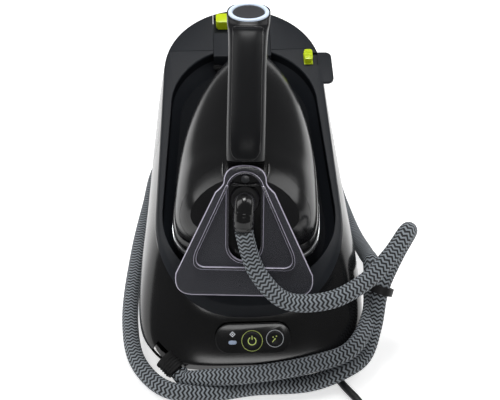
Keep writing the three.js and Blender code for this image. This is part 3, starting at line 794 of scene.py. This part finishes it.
def makeDeck():
    under = [
        flatRing(inset(trayEdge, 9), lambda y: planeZ(y) - base["trayDepth"] - base["wall"]),
        flatRing(inset(trayEdge, -base["wall"]), lambda y: deckZ(y) - base["deckThick"] - 0.01),
    ]
    deck = mould("deck", [*under, *slabRings(), *dishRings()])
    tab = moved(plate("tool", 24, 42, 6.5, 3.6, 0.8), shift(base["tabX"], 0, -3.6))
    carve(deck, [onDeck(tab, base["tabY"])], "UNION")
    slot = onDeck(block(63.5, 78.5, -8.5, 8.5, -2.4, 10), base["sliderY"])
    half, coverY = base["bridgeHalf"], base["coverY"]
    carve(deck, [
        block(-200, -half, coverY, 300, 0, 400), block(half, 200, coverY, 300, 0, 400),
        block(-200, 200, coverY + 14, 300, 0, 400), slot,
        block(-half - 0.4, half + 0.4, base["bridgeFront"] - 0.4, 300, 0, 400),
    ])
    finishMesh(deck, "deckGrey", 32)
    deck.data.materials.append(looks["trayGrey"])
    for face in deck.data.polygons:
        c = face.center / mm
        sunk = c.z < deckZ(c.y) - 1.2 and abs(c.x) <= trayForm["front"]
        if sunk and face.normal.z > -0.3 and withinOutline(c.x, c.y, trayEdge):
            face.material_index = 1
    place(deck, "base", "matte_deck", "dock_deck")


def withinOutline(x, y, points):
    # counts how often a line from the point crosses the outline
    crossings = 0
    for (ax, ay), (bx, by) in zip(points, points[1:] + points[:1]):
        if (ay > y) != (by > y) and x < ax + (y - ay) / (by - ay) * (bx - ax):
            crossings += 1
    return crossings % 2 == 1


def makeCovers():
    for side, word in ((-1, "left"), (1, "right")):
        cover = mould("tankCover" + word.capitalize(), slabRings())
        low, high = sorted((side * (base["bridgeHalf"] + base["gap"]), side * 200))
        carve(cover, [block(low, high, base["coverY"] + base["gap"], 300, 0, 400)], "INTERSECT")
        finishMesh(cover, "deckGrey", 32)
        place(cover, "tank", "matte_deck", "tank_cover_" + word)


def makeBridge():
    rings = [bodyRing(lambda y: deckZ(y) - base["bridgeDepth"]), *slabRings()[1:]]
    bridge = mould("noseBridge", rings)
    half = base["bridgeHalf"]
    carve(bridge, [block(-half, half, base["bridgeFront"], 300, 0, 400)], "INTERSECT")
    carve(bridge, [onDeck(block(-29, -8, -9, 14, -3, 20), base["knobY"])])
    soften(bridge, 0.35, 2, 60)
    finishMesh(bridge, "deckGrey", 32)
    place(bridge, "base", "matte_deck", "nose_bridge")


def tankForm(name, inside):
    wall, clear = (base["wall"], 0.0) if inside else (0.0, base["gap"])
    form = outerForm(name, wall, base["deckThick"] + base["gap"] + wall)
    keep = base["gap"] + wall
    carve(form, [block(-200, 200, base["tankFront"] + keep, 300, base["tankLow"] + keep, 300)], "INTERSECT")
    side = base["coreHalf"] - clear + wall
    core = block(-side, side, -100, base["coreBack"] + wall, 0, 300)
    half = base["bridgeHalf"] + 1.2 + wall
    low = base["bridgeDepth"] + base["gap"] + 0.6 + wall
    wide = inset(rim, -25)
    above = mould("tool", [flatRing(wide, lambda y: deckZ(y) - low), flatRing(wide, lambda y: deckZ(y) + 80)])
    carve(above, [block(-half, half, 0, 300, 0, 400)], "INTERSECT")
    return carve(form, [core, trayBlock("tool", keep), above])


def makeTank():
    tank = tankForm("tank", False)
    carve(tank, [tankForm("tool", True), moved(disc("tool", 13, 100, 200), shift(0, 152, 0))])
    finishMesh(tank, "smokedTank", 30)
    place(tank, "tank", "smoked_tank", "water_tank")


makeHousing()
makeDeck()
makeCovers()
makeBridge()
makeTank()
print("base shells ready")

# ---- the iron, drawn level with its nose along +Y

ironForm = dict(half=67, widest=44, rear=-2, nose=242, skirtTop=22, steps=56)
ironTurn = shift(0, -30, 0) @ spin("Z", -3.4) @ shift(0, -88, 84.5) @ spin("X", 14)
crownLine = [(-10, 74), (50, 78), (80, 71), (140, 62), (180, 56), (225, 42), (246, 34)]
crownPath = centripetal([point(0, y, z) for y, z in crownLine], 120)


def ontoIron(obj):
    return moved(obj, ironTurn)


def soleHalf(y):
    if y >= ironForm["widest"]:
        return ironForm["half"] * max(0.0, 1 - (max(0.0, y - ironForm["widest"]) / 200) ** 2.4) ** 0.72
    return ironForm["half"] * (1 - min(1.0, (ironForm["widest"] - y) / 46) ** 3.5) ** (1 / 3.5)


def ironRing(narrow, back, front, levelAt):
    right, steps, rear = [], ironForm["steps"], ironForm["rear"]
    for k in range(steps + 1):
        t = (1 - math.cos(math.pi * k / steps)) / 2
        y = blendValue(rear + 0.4, ironForm["nose"], t)
        right.append((soleHalf(y) * narrow, blendValue(rear + back, ironForm["nose"] - front, t)))
    left = [(-x, y) for x, y in reversed(right)]
    return [point(x, y, levelAt(y)) for x, y in (*right, *left)]


def crownZ(y):
    for a, b in zip(crownPath, crownPath[1:]):
        if b.y >= y:
            return blendValue(a.z, b.z, clamp((y - a.y) / (b.y - a.y)))
    return crownPath[-1].z


def stripMould(name, rings):
    # rings with a pair of points at the nose; caps are strips from side to side
    n, steps = len(rings[0]), ironForm["steps"]
    obj = loft(name, rings, caps=False)
    work = bmesh.new()
    work.from_mesh(obj.data)
    work.verts.ensure_lookup_table()
    for start in (0, (len(rings) - 1) * n):
        for s in range(steps):
            corners = [start + v for v in (steps - s, steps - s - 1, steps + 2 + s, steps + 1 + s)]
            work.faces.new([work.verts[v] for v in corners])
    bmesh.ops.remove_doubles(work, verts=work.verts, dist=1e-7)
    bmesh.ops.recalc_face_normals(work, faces=work.faces)
    work.to_mesh(obj.data)
    work.free()
    return obj


def shellForm(name, inner, grow=0.0):
    rings, top = [], ironForm["skirtTop"] + base["gap"]
    for t in (0, 0.08, 0.16, 0.25, 0.34, 0.43, 0.52, 0.61, 0.7, 0.78, 0.85, 0.91, 0.96, 1):
        narrow = (0.95 - inner * 0.045) * math.sqrt(1 - (t * 0.97) ** 2.2)

        def rise(y, t=t):
            return top + grow + (crownZ(y) - inner * 3 - ironForm["skirtTop"]) * t

        rings.append(ironRing(narrow, 3 + inner * 3, 5 + 30 * t * t + inner * 4, rise))
    if inner:
        rings.insert(0, [p - point(0, 0, 5) for p in rings[0]])
    return stripMould(name, rings)


heel = dict(y=-37, z=8, lean=45, coverFront=-13, socketU=84)
heelTurn = shift(0, heel["y"], heel["z"]) @ spin("X", heel["lean"])


def onHeel(obj):
    return moved(obj, heelTurn)


def curveTo(a, c, b, steps=8):
    # a quadratic curve from a to b, without its first point
    rows = [(k / steps) for k in range(1, steps + 1)]
    return [tuple((1 - t) ** 2 * a[i] + 2 * t * (1 - t) * c[i] + t * t * b[i] for i in (0, 1)) for t in rows]


def heelOutline(grow=0.0, archTop=113.0):
    half = 60.5 + grow
    right = [(half - 17, -grow)]
    right += curveTo(right[-1], (half + 1, -grow), (half - 2, 19))
    right += [(25 + grow, 90)]
    right += curveTo(right[-1], (18 + grow, 96), (18 + grow, archTop - 14), 6)
    right += curveTo(right[-1], (18 + grow, archTop + grow), (0, archTop + grow), 12)
    return right + [(-x, y) for x, y in reversed(right[:-1])]


def triangleOutline(grow):
    right = [(33 + grow, 25 - grow)]
    right += curveTo(right[-1], (45 + grow, 25 - grow), (40 + grow, 39), 12)
    right += [(14.5 + grow, 96)]
    return right + [(-x, y) for x, y in reversed(right)]


def ironRings(*rows):
    # one ring a row: width, inset behind, inset in front, level
    return [ironRing(narrow, back, front, lambda y, z=z: z) for narrow, back, front, z in rows]


def makeIronShells():
    behind = onHeel(block(-200, 200, -200, 300, heel["coverFront"] - base["gap"], 200))
    shell = carve(shellForm("ironShell", 0), [shellForm("tool", 1), behind])
    finishMesh(ontoIron(shell), "ironBlack", 42)
    place(shell, "iron", "gloss_black", "iron_shell")
    sole = stripMould("ironSole", ironRings(
        (0.965, 2, 2.6, 0), (0.985, 0.8, 1, 0.35), (0.998, 0.1, 0.2, 1.3),
        (1, 0, 0, 2.4), (1, 0, 0, 7), (0.994, 0.3, 0.4, 8),
    ))
    finishMesh(ontoIron(sole), "sole", 50)
    place(sole, "iron", "aluminium", "soleplate")
    rings = ironRings(
        (0.985, 1, 1.5, 8.4), (0.985, 1, 1.5, 14), (0.972, 1.6, 2.4, 14.7), (0.972, 1.6, 2.4, 15.4),
        (0.983, 1.1, 1.7, 16.1), (0.968, 1.8, 2.7, 20.6), (0.96, 2, 3, ironForm["skirtTop"]),
    )
    hollow = stripMould("tool", ironRings((0.86, 8, 16, 7), (0.86, 8, 16, 30)))
    skirt = carve(stripMould("ironSkirt", rings), [hollow])
    finishMesh(ontoIron(skirt), "glossBlack", 42)
    place(skirt, "iron", "gloss_black", "skirt")


def makeHeel():
    clear = soften(prism("heelPlate", heelOutline(), 0, 3.4), 1.4, 4, 50)
    rib = carve(prism("tool", triangleOutline(1.6), 0.5, 6), [prism("tool", triangleOutline(-0.8), -3, 9)])
    carve(clear, [soften(rib, 0.6, 3, 50)], "UNION")
    collar = moved(prism("tool", roundedPlan(32, 79, 15.9, 12), 0.5, 5), shift(0, 68.5, 0))
    carve(clear, [soften(collar, 0.8, 3, 50)], "UNION")
    slot = moved(prism("tool", roundedPlan(28, 75, 13.9, 12), 0, 30), shift(0, 68.5, -10))
    carve(clear, [slot])
    finishMesh(clear, "clearHeel", 40)
    # the side faces take the lighter, glowing copy: a painted highlight along the plate's edges
    clear.data.materials.append(looks["clearEdge"])
    for face in clear.data.polygons:
        face.material_index = 1 if abs(face.normal.z) < 0.93 else 0
    ontoIron(onHeel(clear))
    place(clear, "iron", "clear_lilac", "heel_plate")
    front, rear = heel["coverFront"], -base["gap"]
    cover = carve(prism("rearCover", heelOutline(-4, 108), front, rear), [block(-100, 100, -50, 12, -30, 10)])
    layer = onHeel(block(-200, 200, -200, 300, front, rear))
    closing = carve(shellForm("tool", 0), [layer], "INTERSECT")
    carve(onHeel(cover), [closing], "UNION")
    relief = onHeel(block(-13, 13, 30, 70, -9, 10))
    carve(cover, [onHeel(moved(disc("tool", 12.6, -30, 10), shift(0, heel["socketU"], 0))), relief])
    finishMesh(ontoIron(cover), "ironBlack", 35)
    place(cover, "iron", "satin_black", "rear_cover")
    socket = turned("bootSocket", [(12.2, -16), (12.2, 2), (11.9, 4), (11.2, 6.2), (9.8, 7)])
    finishMesh(ontoIron(onHeel(moved(socket, shift(0, heel["socketU"], 0)))), "plainBlack", 40)
    place(socket, "iron", "satin_black", "boot_socket")


head = dict(y=170, z=138, lean=-18.5)
# half width, half depth, y, z and lean in radians of each oval along the grip and down its front column
gripSections = [
    (17, 17, 48, 79.5, 0.05), (16.5, 16, 50, 88, -0.35), (16.3, 15, 57, 97.5, -0.85),
    (16.3, 14.6, 70, 105, -1.15), (16.3, 14.5, 100, 117.5, -1.15), (16.5, 14.5, 130, 129, -1.1),
    (17.2, 15, 149, 134.5, -0.85), (18.6, 17, 162, 134.5, -0.55), (19, 18.5, 170, 138, -0.323),
]
columnSections = [
    (13, 22, 182, 56, 0), (12.5, 19, 180, 75, -0.05), (13.5, 16.5, 175, 102, -0.15),
    (18.6, 18.2, 168.5, 133, -0.323),
]


def between(rows, steps):
    # rows of numbers eased through one another, as a smooth curve passes through its points
    result = []
    for k in range(len(rows) - 1):
        p = [rows[max(k - 1, 0)], rows[k], rows[k + 1], rows[min(k + 2, len(rows) - 1)]]
        for s in range(steps):
            t = s / steps
            row = []
            for a, b, c, d in zip(*p):
                bend = 2 * a - 5 * b + 4 * c - d + t * (3 * (b - c) + d - a)
                row.append(b + 0.5 * t * (c - a + t * bend))
            result.append(tuple(row))
    return [*result, rows[-1]]


def ovalPoint(section, turn, grow=0.0, power=2.6):
    halfWidth, halfDepth, y, z, lean = section
    across, along = bulge(math.cos(turn), power), bulge(math.sin(turn), power)
    flat = Vector(((halfWidth + grow) * across, (halfDepth + grow) * along, 0))
    return Matrix.Rotation(lean, 3, "X") @ flat + Vector((0, y, z))


def ovalRing(section, sides=72):
    return [ovalPoint(section, 2 * math.pi * k / sides) for k in range(sides)]


def onHead(obj):
    return moved(obj, shift(0, head["y"], head["z"]) @ spin("X", head["lean"]))


def makeHandle():
    grip = loft("handle", [ovalRing(s) for s in between(gripSections, 6)])
    column = loft("tool", [ovalRing(s) for s in between(columnSections, 8)])
    carve(grip, [column], "UNION")
    low = onHeel(block(-100, 100, -100, 117, heel["coverFront"] - base["gap"], 100))
    seat = onHead(disc("tool", 18.2, -4, 10))
    buttonWell = onHead(disc("tool", 14.3, -5.4, 0))
    carve(grip, [shellForm("tool", 0, base["gap"]), block(-7, 7, 128, 152, 60, 125.2), seat, buttonWell, low])
    finishMesh(ontoIron(grip), "handleSatin", 42)
    place(grip, "iron", "satin_black", "handle_shell")


inlay = dict(start=1.35, end=6.9, halfTurn=42, lift=0.7, sink=1.2, steps=90, across=22, groove=0.7)


def makeInlay():
    # a raised pad along the top of the grip, with rounded ends and a soft edge
    fine = between(gripSections, 40)
    first, last = int(inlay["start"] * 40), int(inlay["end"] * 40)
    rings = []
    for k in range(inlay["steps"] + 1):
        t = k / inlay["steps"]
        section = fine[int(round(blendValue(first, last, t)))]
        nearEnd = min(t, 1 - t) / 0.1
        narrow = math.sqrt(max(0.02, 1 - max(0.0, 1 - nearEnd) ** 2))
        top, bottom = [], []
        for s in range(inlay["across"] + 1):
            u = 2 * s / inlay["across"] - 1
            turn = math.radians(270 + u * inlay["halfTurn"] * narrow)
            edge = clamp(min(1 - abs(u), nearEnd * 0.5) / 0.06)
            top.append(ovalPoint(section, turn, -0.2 + (inlay["lift"] + 0.2) * math.sqrt(edge)))
            bottom.append(ovalPoint(section, turn, -inlay["sink"]))
        rings.append([*top, *reversed(bottom)])
    pad = loft("gripInlay", rings)
    finishMesh(ontoIron(pad), "gripSatin", 50)
    place(pad, "iron", "satin_black")
    # the dark groove round the pad, down one side and back up the other
    rightSide = [ring[inlay["across"]] for ring in rings]
    loop = [*rings[0][: inlay["across"] + 1], *rightSide[1:-1], *reversed(rings[-1][: inlay["across"] + 1])]
    loop += [ring[0] for ring in reversed(rings[1:])]
    groove = sweep("inlayGroove", evenly(loop, 260), lambda t: inlay["groove"], 10)
    finishMesh(ontoIron(groove), "ironBlack", 60)
    place(groove, "iron", "satin_black")


def makeRootRim():
    # the raised rim on the shell that follows the back of the handle's root
    halfWidth = 19.6
    section = (halfWidth, 19.2, 47.2, 80.6, 0.12)
    path = [ovalPoint(section, math.radians(168 + 204 * k / 60)) for k in range(61)]
    path = [point(p.x, p.y, max(p.z, crownZ(p.y) + 1.0) - 3.2 * (p.x / halfWidth) ** 4) for p in path]

    def girth(t):
        return 1.5 * min(1.0, math.sqrt(min(t, 1 - t) * 14 + 0.02))

    rimPiece = sweep("handleRootRim", path, girth, 18)
    finishMesh(ontoIron(rimPiece), "ironBlack", 60)
    place(rimPiece, "iron", "gloss_black")


def makeHead():
    profile = [(17.8, -3.6), (17.8, 0.7), (17.4, 1.3), (16.6, 1.6), (15.6, 1.6), (14.7, 1.3), (14.4, 0.6)]
    ringPiece = turned("ringLight", [*profile, (14.4, -3.6), profile[0]], 96)
    finishMesh(ontoIron(onHead(ringPiece)), "ringGlow", 50)
    place(ringPiece, "iron", "ring_white", "ring_light")
    dome = [(14, -3.6), (14, 0.1), (13.7, 0.6), (12.8, 0.85), (10.5, 0.6), (6, 0.4), (0.01, 0.35)]
    lens = turned("headLens", dome, 96)
    finishMesh(ontoIron(onHead(lens)), "lensGrey", 50)
    place(lens, "handle_button", "lens_grey", "handle_button")


bootRoute = [(-5.4, -120.4, 160.3), (-6, -129, 164.5), (-6.9, -138, 158), (-7.1, -140.5, 149)]


def makeBoot():
    # an elbow with a few shallow ribs towards its mouth
    path = centripetal([point(*p) for p in bootRoute], 60)

    def girth(t):
        rib = 0.25 * max(0.0, math.sin(t * 2 * math.pi * 7)) if t > 0.5 else 0.0
        return 8.6 - 0.4 * t + rib

    boot = sweep("hoseBoot", path, girth, 40)
    finishMesh(boot, "glossBlack", 45)
    place(boot, "iron", "rubber", "hose_boot")


makeIronShells()
makeHeel()
makeHandle()
makeInlay()
makeRootRim()
makeHead()
makeBoot()
print("iron ready")

# ---- the control panel's plate, buttons and marks


def mark(obj, x, y, out, look, body, slotName):
    finishMesh(onPanel(obj, x, y, out), look, 50)
    return place(obj, body, slotName)


thick = 0.25  # of a printed mark


def strokeRing(name, radius, width, start, end):
    # a flat arc with a thickness, in degrees
    outer = arc(0, 0, radius + width / 2, start, end, 40)
    inner = arc(0, 0, radius - width / 2, end, start, 40)
    return prism(name, [*outer, *inner], 0, thick)


def hoop(name, radius, half):
    turns = [2 * math.pi * k / 12 for k in range(12)]
    profile = [(radius + half * math.cos(a), half * math.sin(a)) for a in turns]
    return turned(name, [*profile, profile[0]], 72)


def makePanel():
    face = plate("controlPanel", panel["width"], panel["height"], panel["corner"], 5, 0.6)
    for (x, y), r in ((panel["power"], 9.2), (panel["mode"], 7.6)):
        carve(face, [moved(disc("tool", r, -1, 8), shift(x, y, 0))])
    finishMesh(onPanel(face, 0, 0, -4), "glossBlack", 35)
    place(face, "base", "gloss_black", "control_panel")
    for key, r, look in (("power", 8.8, "symbolLime"), ("mode", 7.2, "symbolWhite")):
        x, y = panel[key]
        body = key + "_button"
        profile = [(r, 0), (r, 5.4), (r - 0.3, 5.9), (r - 0.9, 6.1), (r * 0.6, 5.85), (0.01, 5.75)]
        cap = turned(key + "Button", profile)
        finishMesh(onPanel(cap, x, y, -4), "handleSatin", 40)
        place(cap, body, "satin_black", body)
        mark(hoop(key + "Hoop", r + 0.25, 0.22), x, y, 1.05, look, "base", "lamp_blue")
    x, y = panel["power"]
    ringStroke = strokeRing("powerArc", 3.4, 0.75, 118, 422)
    bar = moved(plate("powerBar", 0.75, 3.6, 0.3, thick), shift(0, 2.9, 0))
    for symbol in (ringStroke, bar):
        mark(symbol, x, y, 1.75, "symbolLime", "power_button", "lime")
    x, y = panel["mode"]
    spots = ((-1.6, 1.5), (1.3, 2.2), (0, -0.2))
    drops = [moved(disc("drop", 0.55, 0, thick, sides=20), shift(dx, dy, 0)) for dx, dy in spots]
    drops.append(moved(plate("leaf", 0.6, 4.4, 0.3, thick), spin("Z", -38) @ shift(0, -1.6, 0)))
    mark(joined("modeMark", *drops), x, y, 1.75, "symbolLime", "mode_button", "lime")
    x, y = panel["lamp"]
    pill = soften(prism("pilotPill", roundedPlan(7.2, 3.4, 1.69), 0, 1.4), 0.3, 2)
    finishMesh(onPanel(pill, x, y, 0.2), "pilotBlue", 40)
    place(pill, "base", "lamp_blue", "pilot_lamp")
    outer, inner = (
        prism(name, [(0, -r), (r, 0), (0, r), (-r, 0)], low, high)
        for name, r, low, high in (("diamond", 2.6, 0, thick), ("tool", 1.7, -1, 1))
    )
    steam = joined("steamMark", carve(outer, [inner]), disc("dot", 0.7, 0, thick, sides=20))
    mark(steam, x, y + 7.2, 1.0, "symbolWhite", "base", "lamp_blue")


makePanel()
print("panel ready")

# ---- repeated pieces, made by a node tree


def repeatedRow(name, look, count, step, shape):
    # copies of one rib or screw in a straight row, by a tree whose sizes are named inputs
    tree = bpy.data.node_groups.new(name + "Tree", "GeometryNodeTree")
    sizes = {}
    tree.interface.new_socket("Geometry", in_out="OUTPUT", socket_type="NodeSocketGeometry")
    tree.interface.new_socket("Geometry", in_out="INPUT", socket_type="NodeSocketGeometry")
    for label, kind in (("Count", "NodeSocketInt"), ("Step", "NodeSocketVector")):
        sizes[label] = tree.interface.new_socket(label, in_out="INPUT", socket_type=kind).identifier
    start, end = tree.nodes.new("NodeGroupInput"), tree.nodes.new("NodeGroupOutput")
    line = tree.nodes.new("GeometryNodeMeshLine")
    copies = tree.nodes.new("GeometryNodeInstanceOnPoints")
    real = tree.nodes.new("GeometryNodeRealizeInstances")
    paint = tree.nodes.new("GeometryNodeSetMaterial")
    paint.inputs["Material"].default_value = looks[look]
    link = tree.links.new
    link(start.outputs["Count"], line.inputs["Count"])
    link(start.outputs["Step"], line.inputs["Offset"])
    link(line.outputs["Mesh"], copies.inputs["Points"])
    link(start.outputs["Geometry"], copies.inputs["Instance"])
    link(copies.outputs["Instances"], real.inputs["Geometry"])
    link(real.outputs["Geometry"], paint.inputs["Geometry"])
    link(paint.outputs["Geometry"], end.inputs["Geometry"])
    edit = shape.modifiers.new("row", "NODES")
    edit.node_group = tree
    edit[sizes["Count"]] = count
    edit[sizes["Step"]] = tuple(v * mm for v in step)
    shape.name = name
    return finishMesh(settle(shape), look, 45)


def makeGlandAndRows():
    profile = [(10.6, 0), (10.6, 2.5), (10.0, 3.4), (9.6, 14.6), (9.2, 15.8), (8.2, 16), (7.7, 16), (7.7, 0)]
    collar = turned("hoseGland", [*profile, profile[0]], 56)
    finishMesh(aimed(collar, gland["at"], gland["way"]), "rubber", 40)
    place(collar, "base", "rubber", "hose_gland")
    way = Vector(gland["way"]).normalized()
    rib = aimed(hoop("glandRib", 10.1, 0.5), [a + 5 * w for a, w in zip(gland["at"], way)], gland["way"])
    place(repeatedRow("glandRibs", "rubber", 4, 2.6 * way, rib), "base", "rubber")
    ridge = moved(plate("ridge", 7.4, 0.8, 0.39, 0.7), shift(base["sliderX"], -4.2, 6.7))
    step = Matrix.Rotation(slope, 3, "X") @ Vector((0, 2.1, 0))
    ridges = repeatedRow("sliderRidges", "lime", 5, step, onDeck(ridge, base["sliderY"]))
    place(ridges, "tank_lock", "lime")
    for x, word in ((-50, "Left"), (50, "Right")):
        screw = turned("screw", [(4.2, 3.2), (4.2, 4.0), (3.2, 4.6)], 32)
        carve(screw, [block(-0.5, 0.5, -3, 3, 3, 3.7)])
        moved(screw, shift(x, -80, 0))
        place(repeatedRow("underScrews" + word, "steel", 3, (0, 80, 0), screw), "base", "steel")


makeGlandAndRows()

# ---- pieces refined from the frame's own solids


def refined(node, look, edge):
    # a welded copy of a CAD node with softened edges, which stands for the node
    source = bpy.data.objects[node]
    obj = bpy.data.objects.new(node + "Fine", source.data.copy())
    scene.collection.objects.link(obj)
    work = bmesh.new()
    work.from_mesh(obj.data)
    bmesh.ops.remove_doubles(work, verts=work.verts, dist=4e-6)
    bmesh.ops.dissolve_limit(work, angle_limit=math.radians(1.0), verts=work.verts, edges=work.edges)
    work.to_mesh(obj.data)
    work.free()
    angle = 38.0
    return dress(soften(obj, edge, 2, angle), look, angle)


# what each node is made of, and how far its edges are softened in millimetres
carried = {
    "floor_pan": ("plainBlack", 0.0), "latch_knob": ("lime", 1.8), "lock_slider": ("lime", 0.7),
    "heel_screw": ("lensGrey", 0.3), "steam_trigger": ("gripSatin", 0.4), "hose_tie": ("plainBlack", 0.0),
    "mains_gland": ("rubber", 0.5), "mains_plug": ("plainBlack", 0.0), "drain_plug": ("plainBlack", 0.3),
    "foot_front_left": ("rubber", 0.4), "foot_front_right": ("rubber", 0.4),
    "foot_back_left": ("rubber", 0.4), "foot_back_right": ("rubber", 0.4),
    "rest_rib_left": ("silicone", 0.5), "rest_rib_right": ("silicone", 0.5),
    "core_shroud": ("plainBlack", 0.0), "boiler_lower": ("cast", 0.0), "boiler_upper": ("cast", 0.0),
    "boiler_heater": ("steel", 0.0), "steam_chamber": ("cast", 0.0), "safety_valve": ("brass", 0.0),
    "steam_valve": ("brass", 0.0), "thermostat": ("steel", 0.0), "water_pump": ("plainBlack", 0.0),
    "pump_mount": ("rubber", 0.0), "control_board": ("boardGreen", 0.0), "steam_pipe": ("steel", 0.0),
    "water_pipe": ("silicone", 0.0), "tank_valve": ("plainBlack", 0.0),
}
bodyOf = {node: body for body, nodes in frame["record"]["behaviour"]["bodies"].items() for node in nodes}
slotOf = {part["node"]: part["material_slot"] for part in frame["record"]["subparts"]}


def refineCarried():
    for node, (look, edge) in carried.items():
        if edge:
            place(refined(node, look, edge), bodyOf[node], slotOf[node], node)
        else:
            for own in bpy.data.objects[node].material_slots:
                own.material = looks[look]


refineCarried()
print("carried pieces finished")

# ---- floor and light


def pane(name, where, aim, size, power):
    data = bpy.data.lights.new(name, "AREA")
    data.shape = "RECTANGLE"
    data.size, data.size_y = size
    data.energy = power
    obj = bpy.data.objects.new(name, data)
    scene.collection.objects.link(obj)
    obj.location = where
    obj.rotation_euler = (Vector(aim) - Vector(where)).to_track_quat("-Z", "Y").to_euler()


def studio():
    paper = Finish("paleFloor", Roughness=0.95)
    paper.set("Base Color", paper.mix(paper.noise(3.0), (0.93, 0.93, 0.93), (0.95, 0.95, 0.95)))
    paper.set("Emission Color", (1, 1, 1))
    paper.set("Emission Strength", 0.55)
    bpy.ops.mesh.primitive_plane_add(size=12, location=(0, 2, 0))
    floor = bpy.context.object
    floor.name = "floor"
    floor.data.materials.append(paper.material)
    pane("overhead", (0, 0.5, 1.9), (0, 0.1, 0), (0.7, 0.5), 17)
    pane("leftBox", (-1.1, 0.25, 1.15), (0, 0, 0.12), (0.6, 1.5), 9)
    pane("rightBox", (1.1, 0.3, 1.1), (0, 0, 0.12), (0.5, 1.4), 7)
    pane("frontStrip", (0.1, -1.5, 1.2), (0, 0, 0.1), (0.9, 0.18), 4)
    world = bpy.data.worlds.new("world")
    world.use_nodes = True
    world.node_tree.nodes["Background"].inputs[0].default_value = (1, 1, 1, 1)
    world.node_tree.nodes["Background"].inputs[1].default_value = 0.16
    scene.world = world
    scene.view_settings.view_transform = "Standard"


studio()
print("floor and light ready")
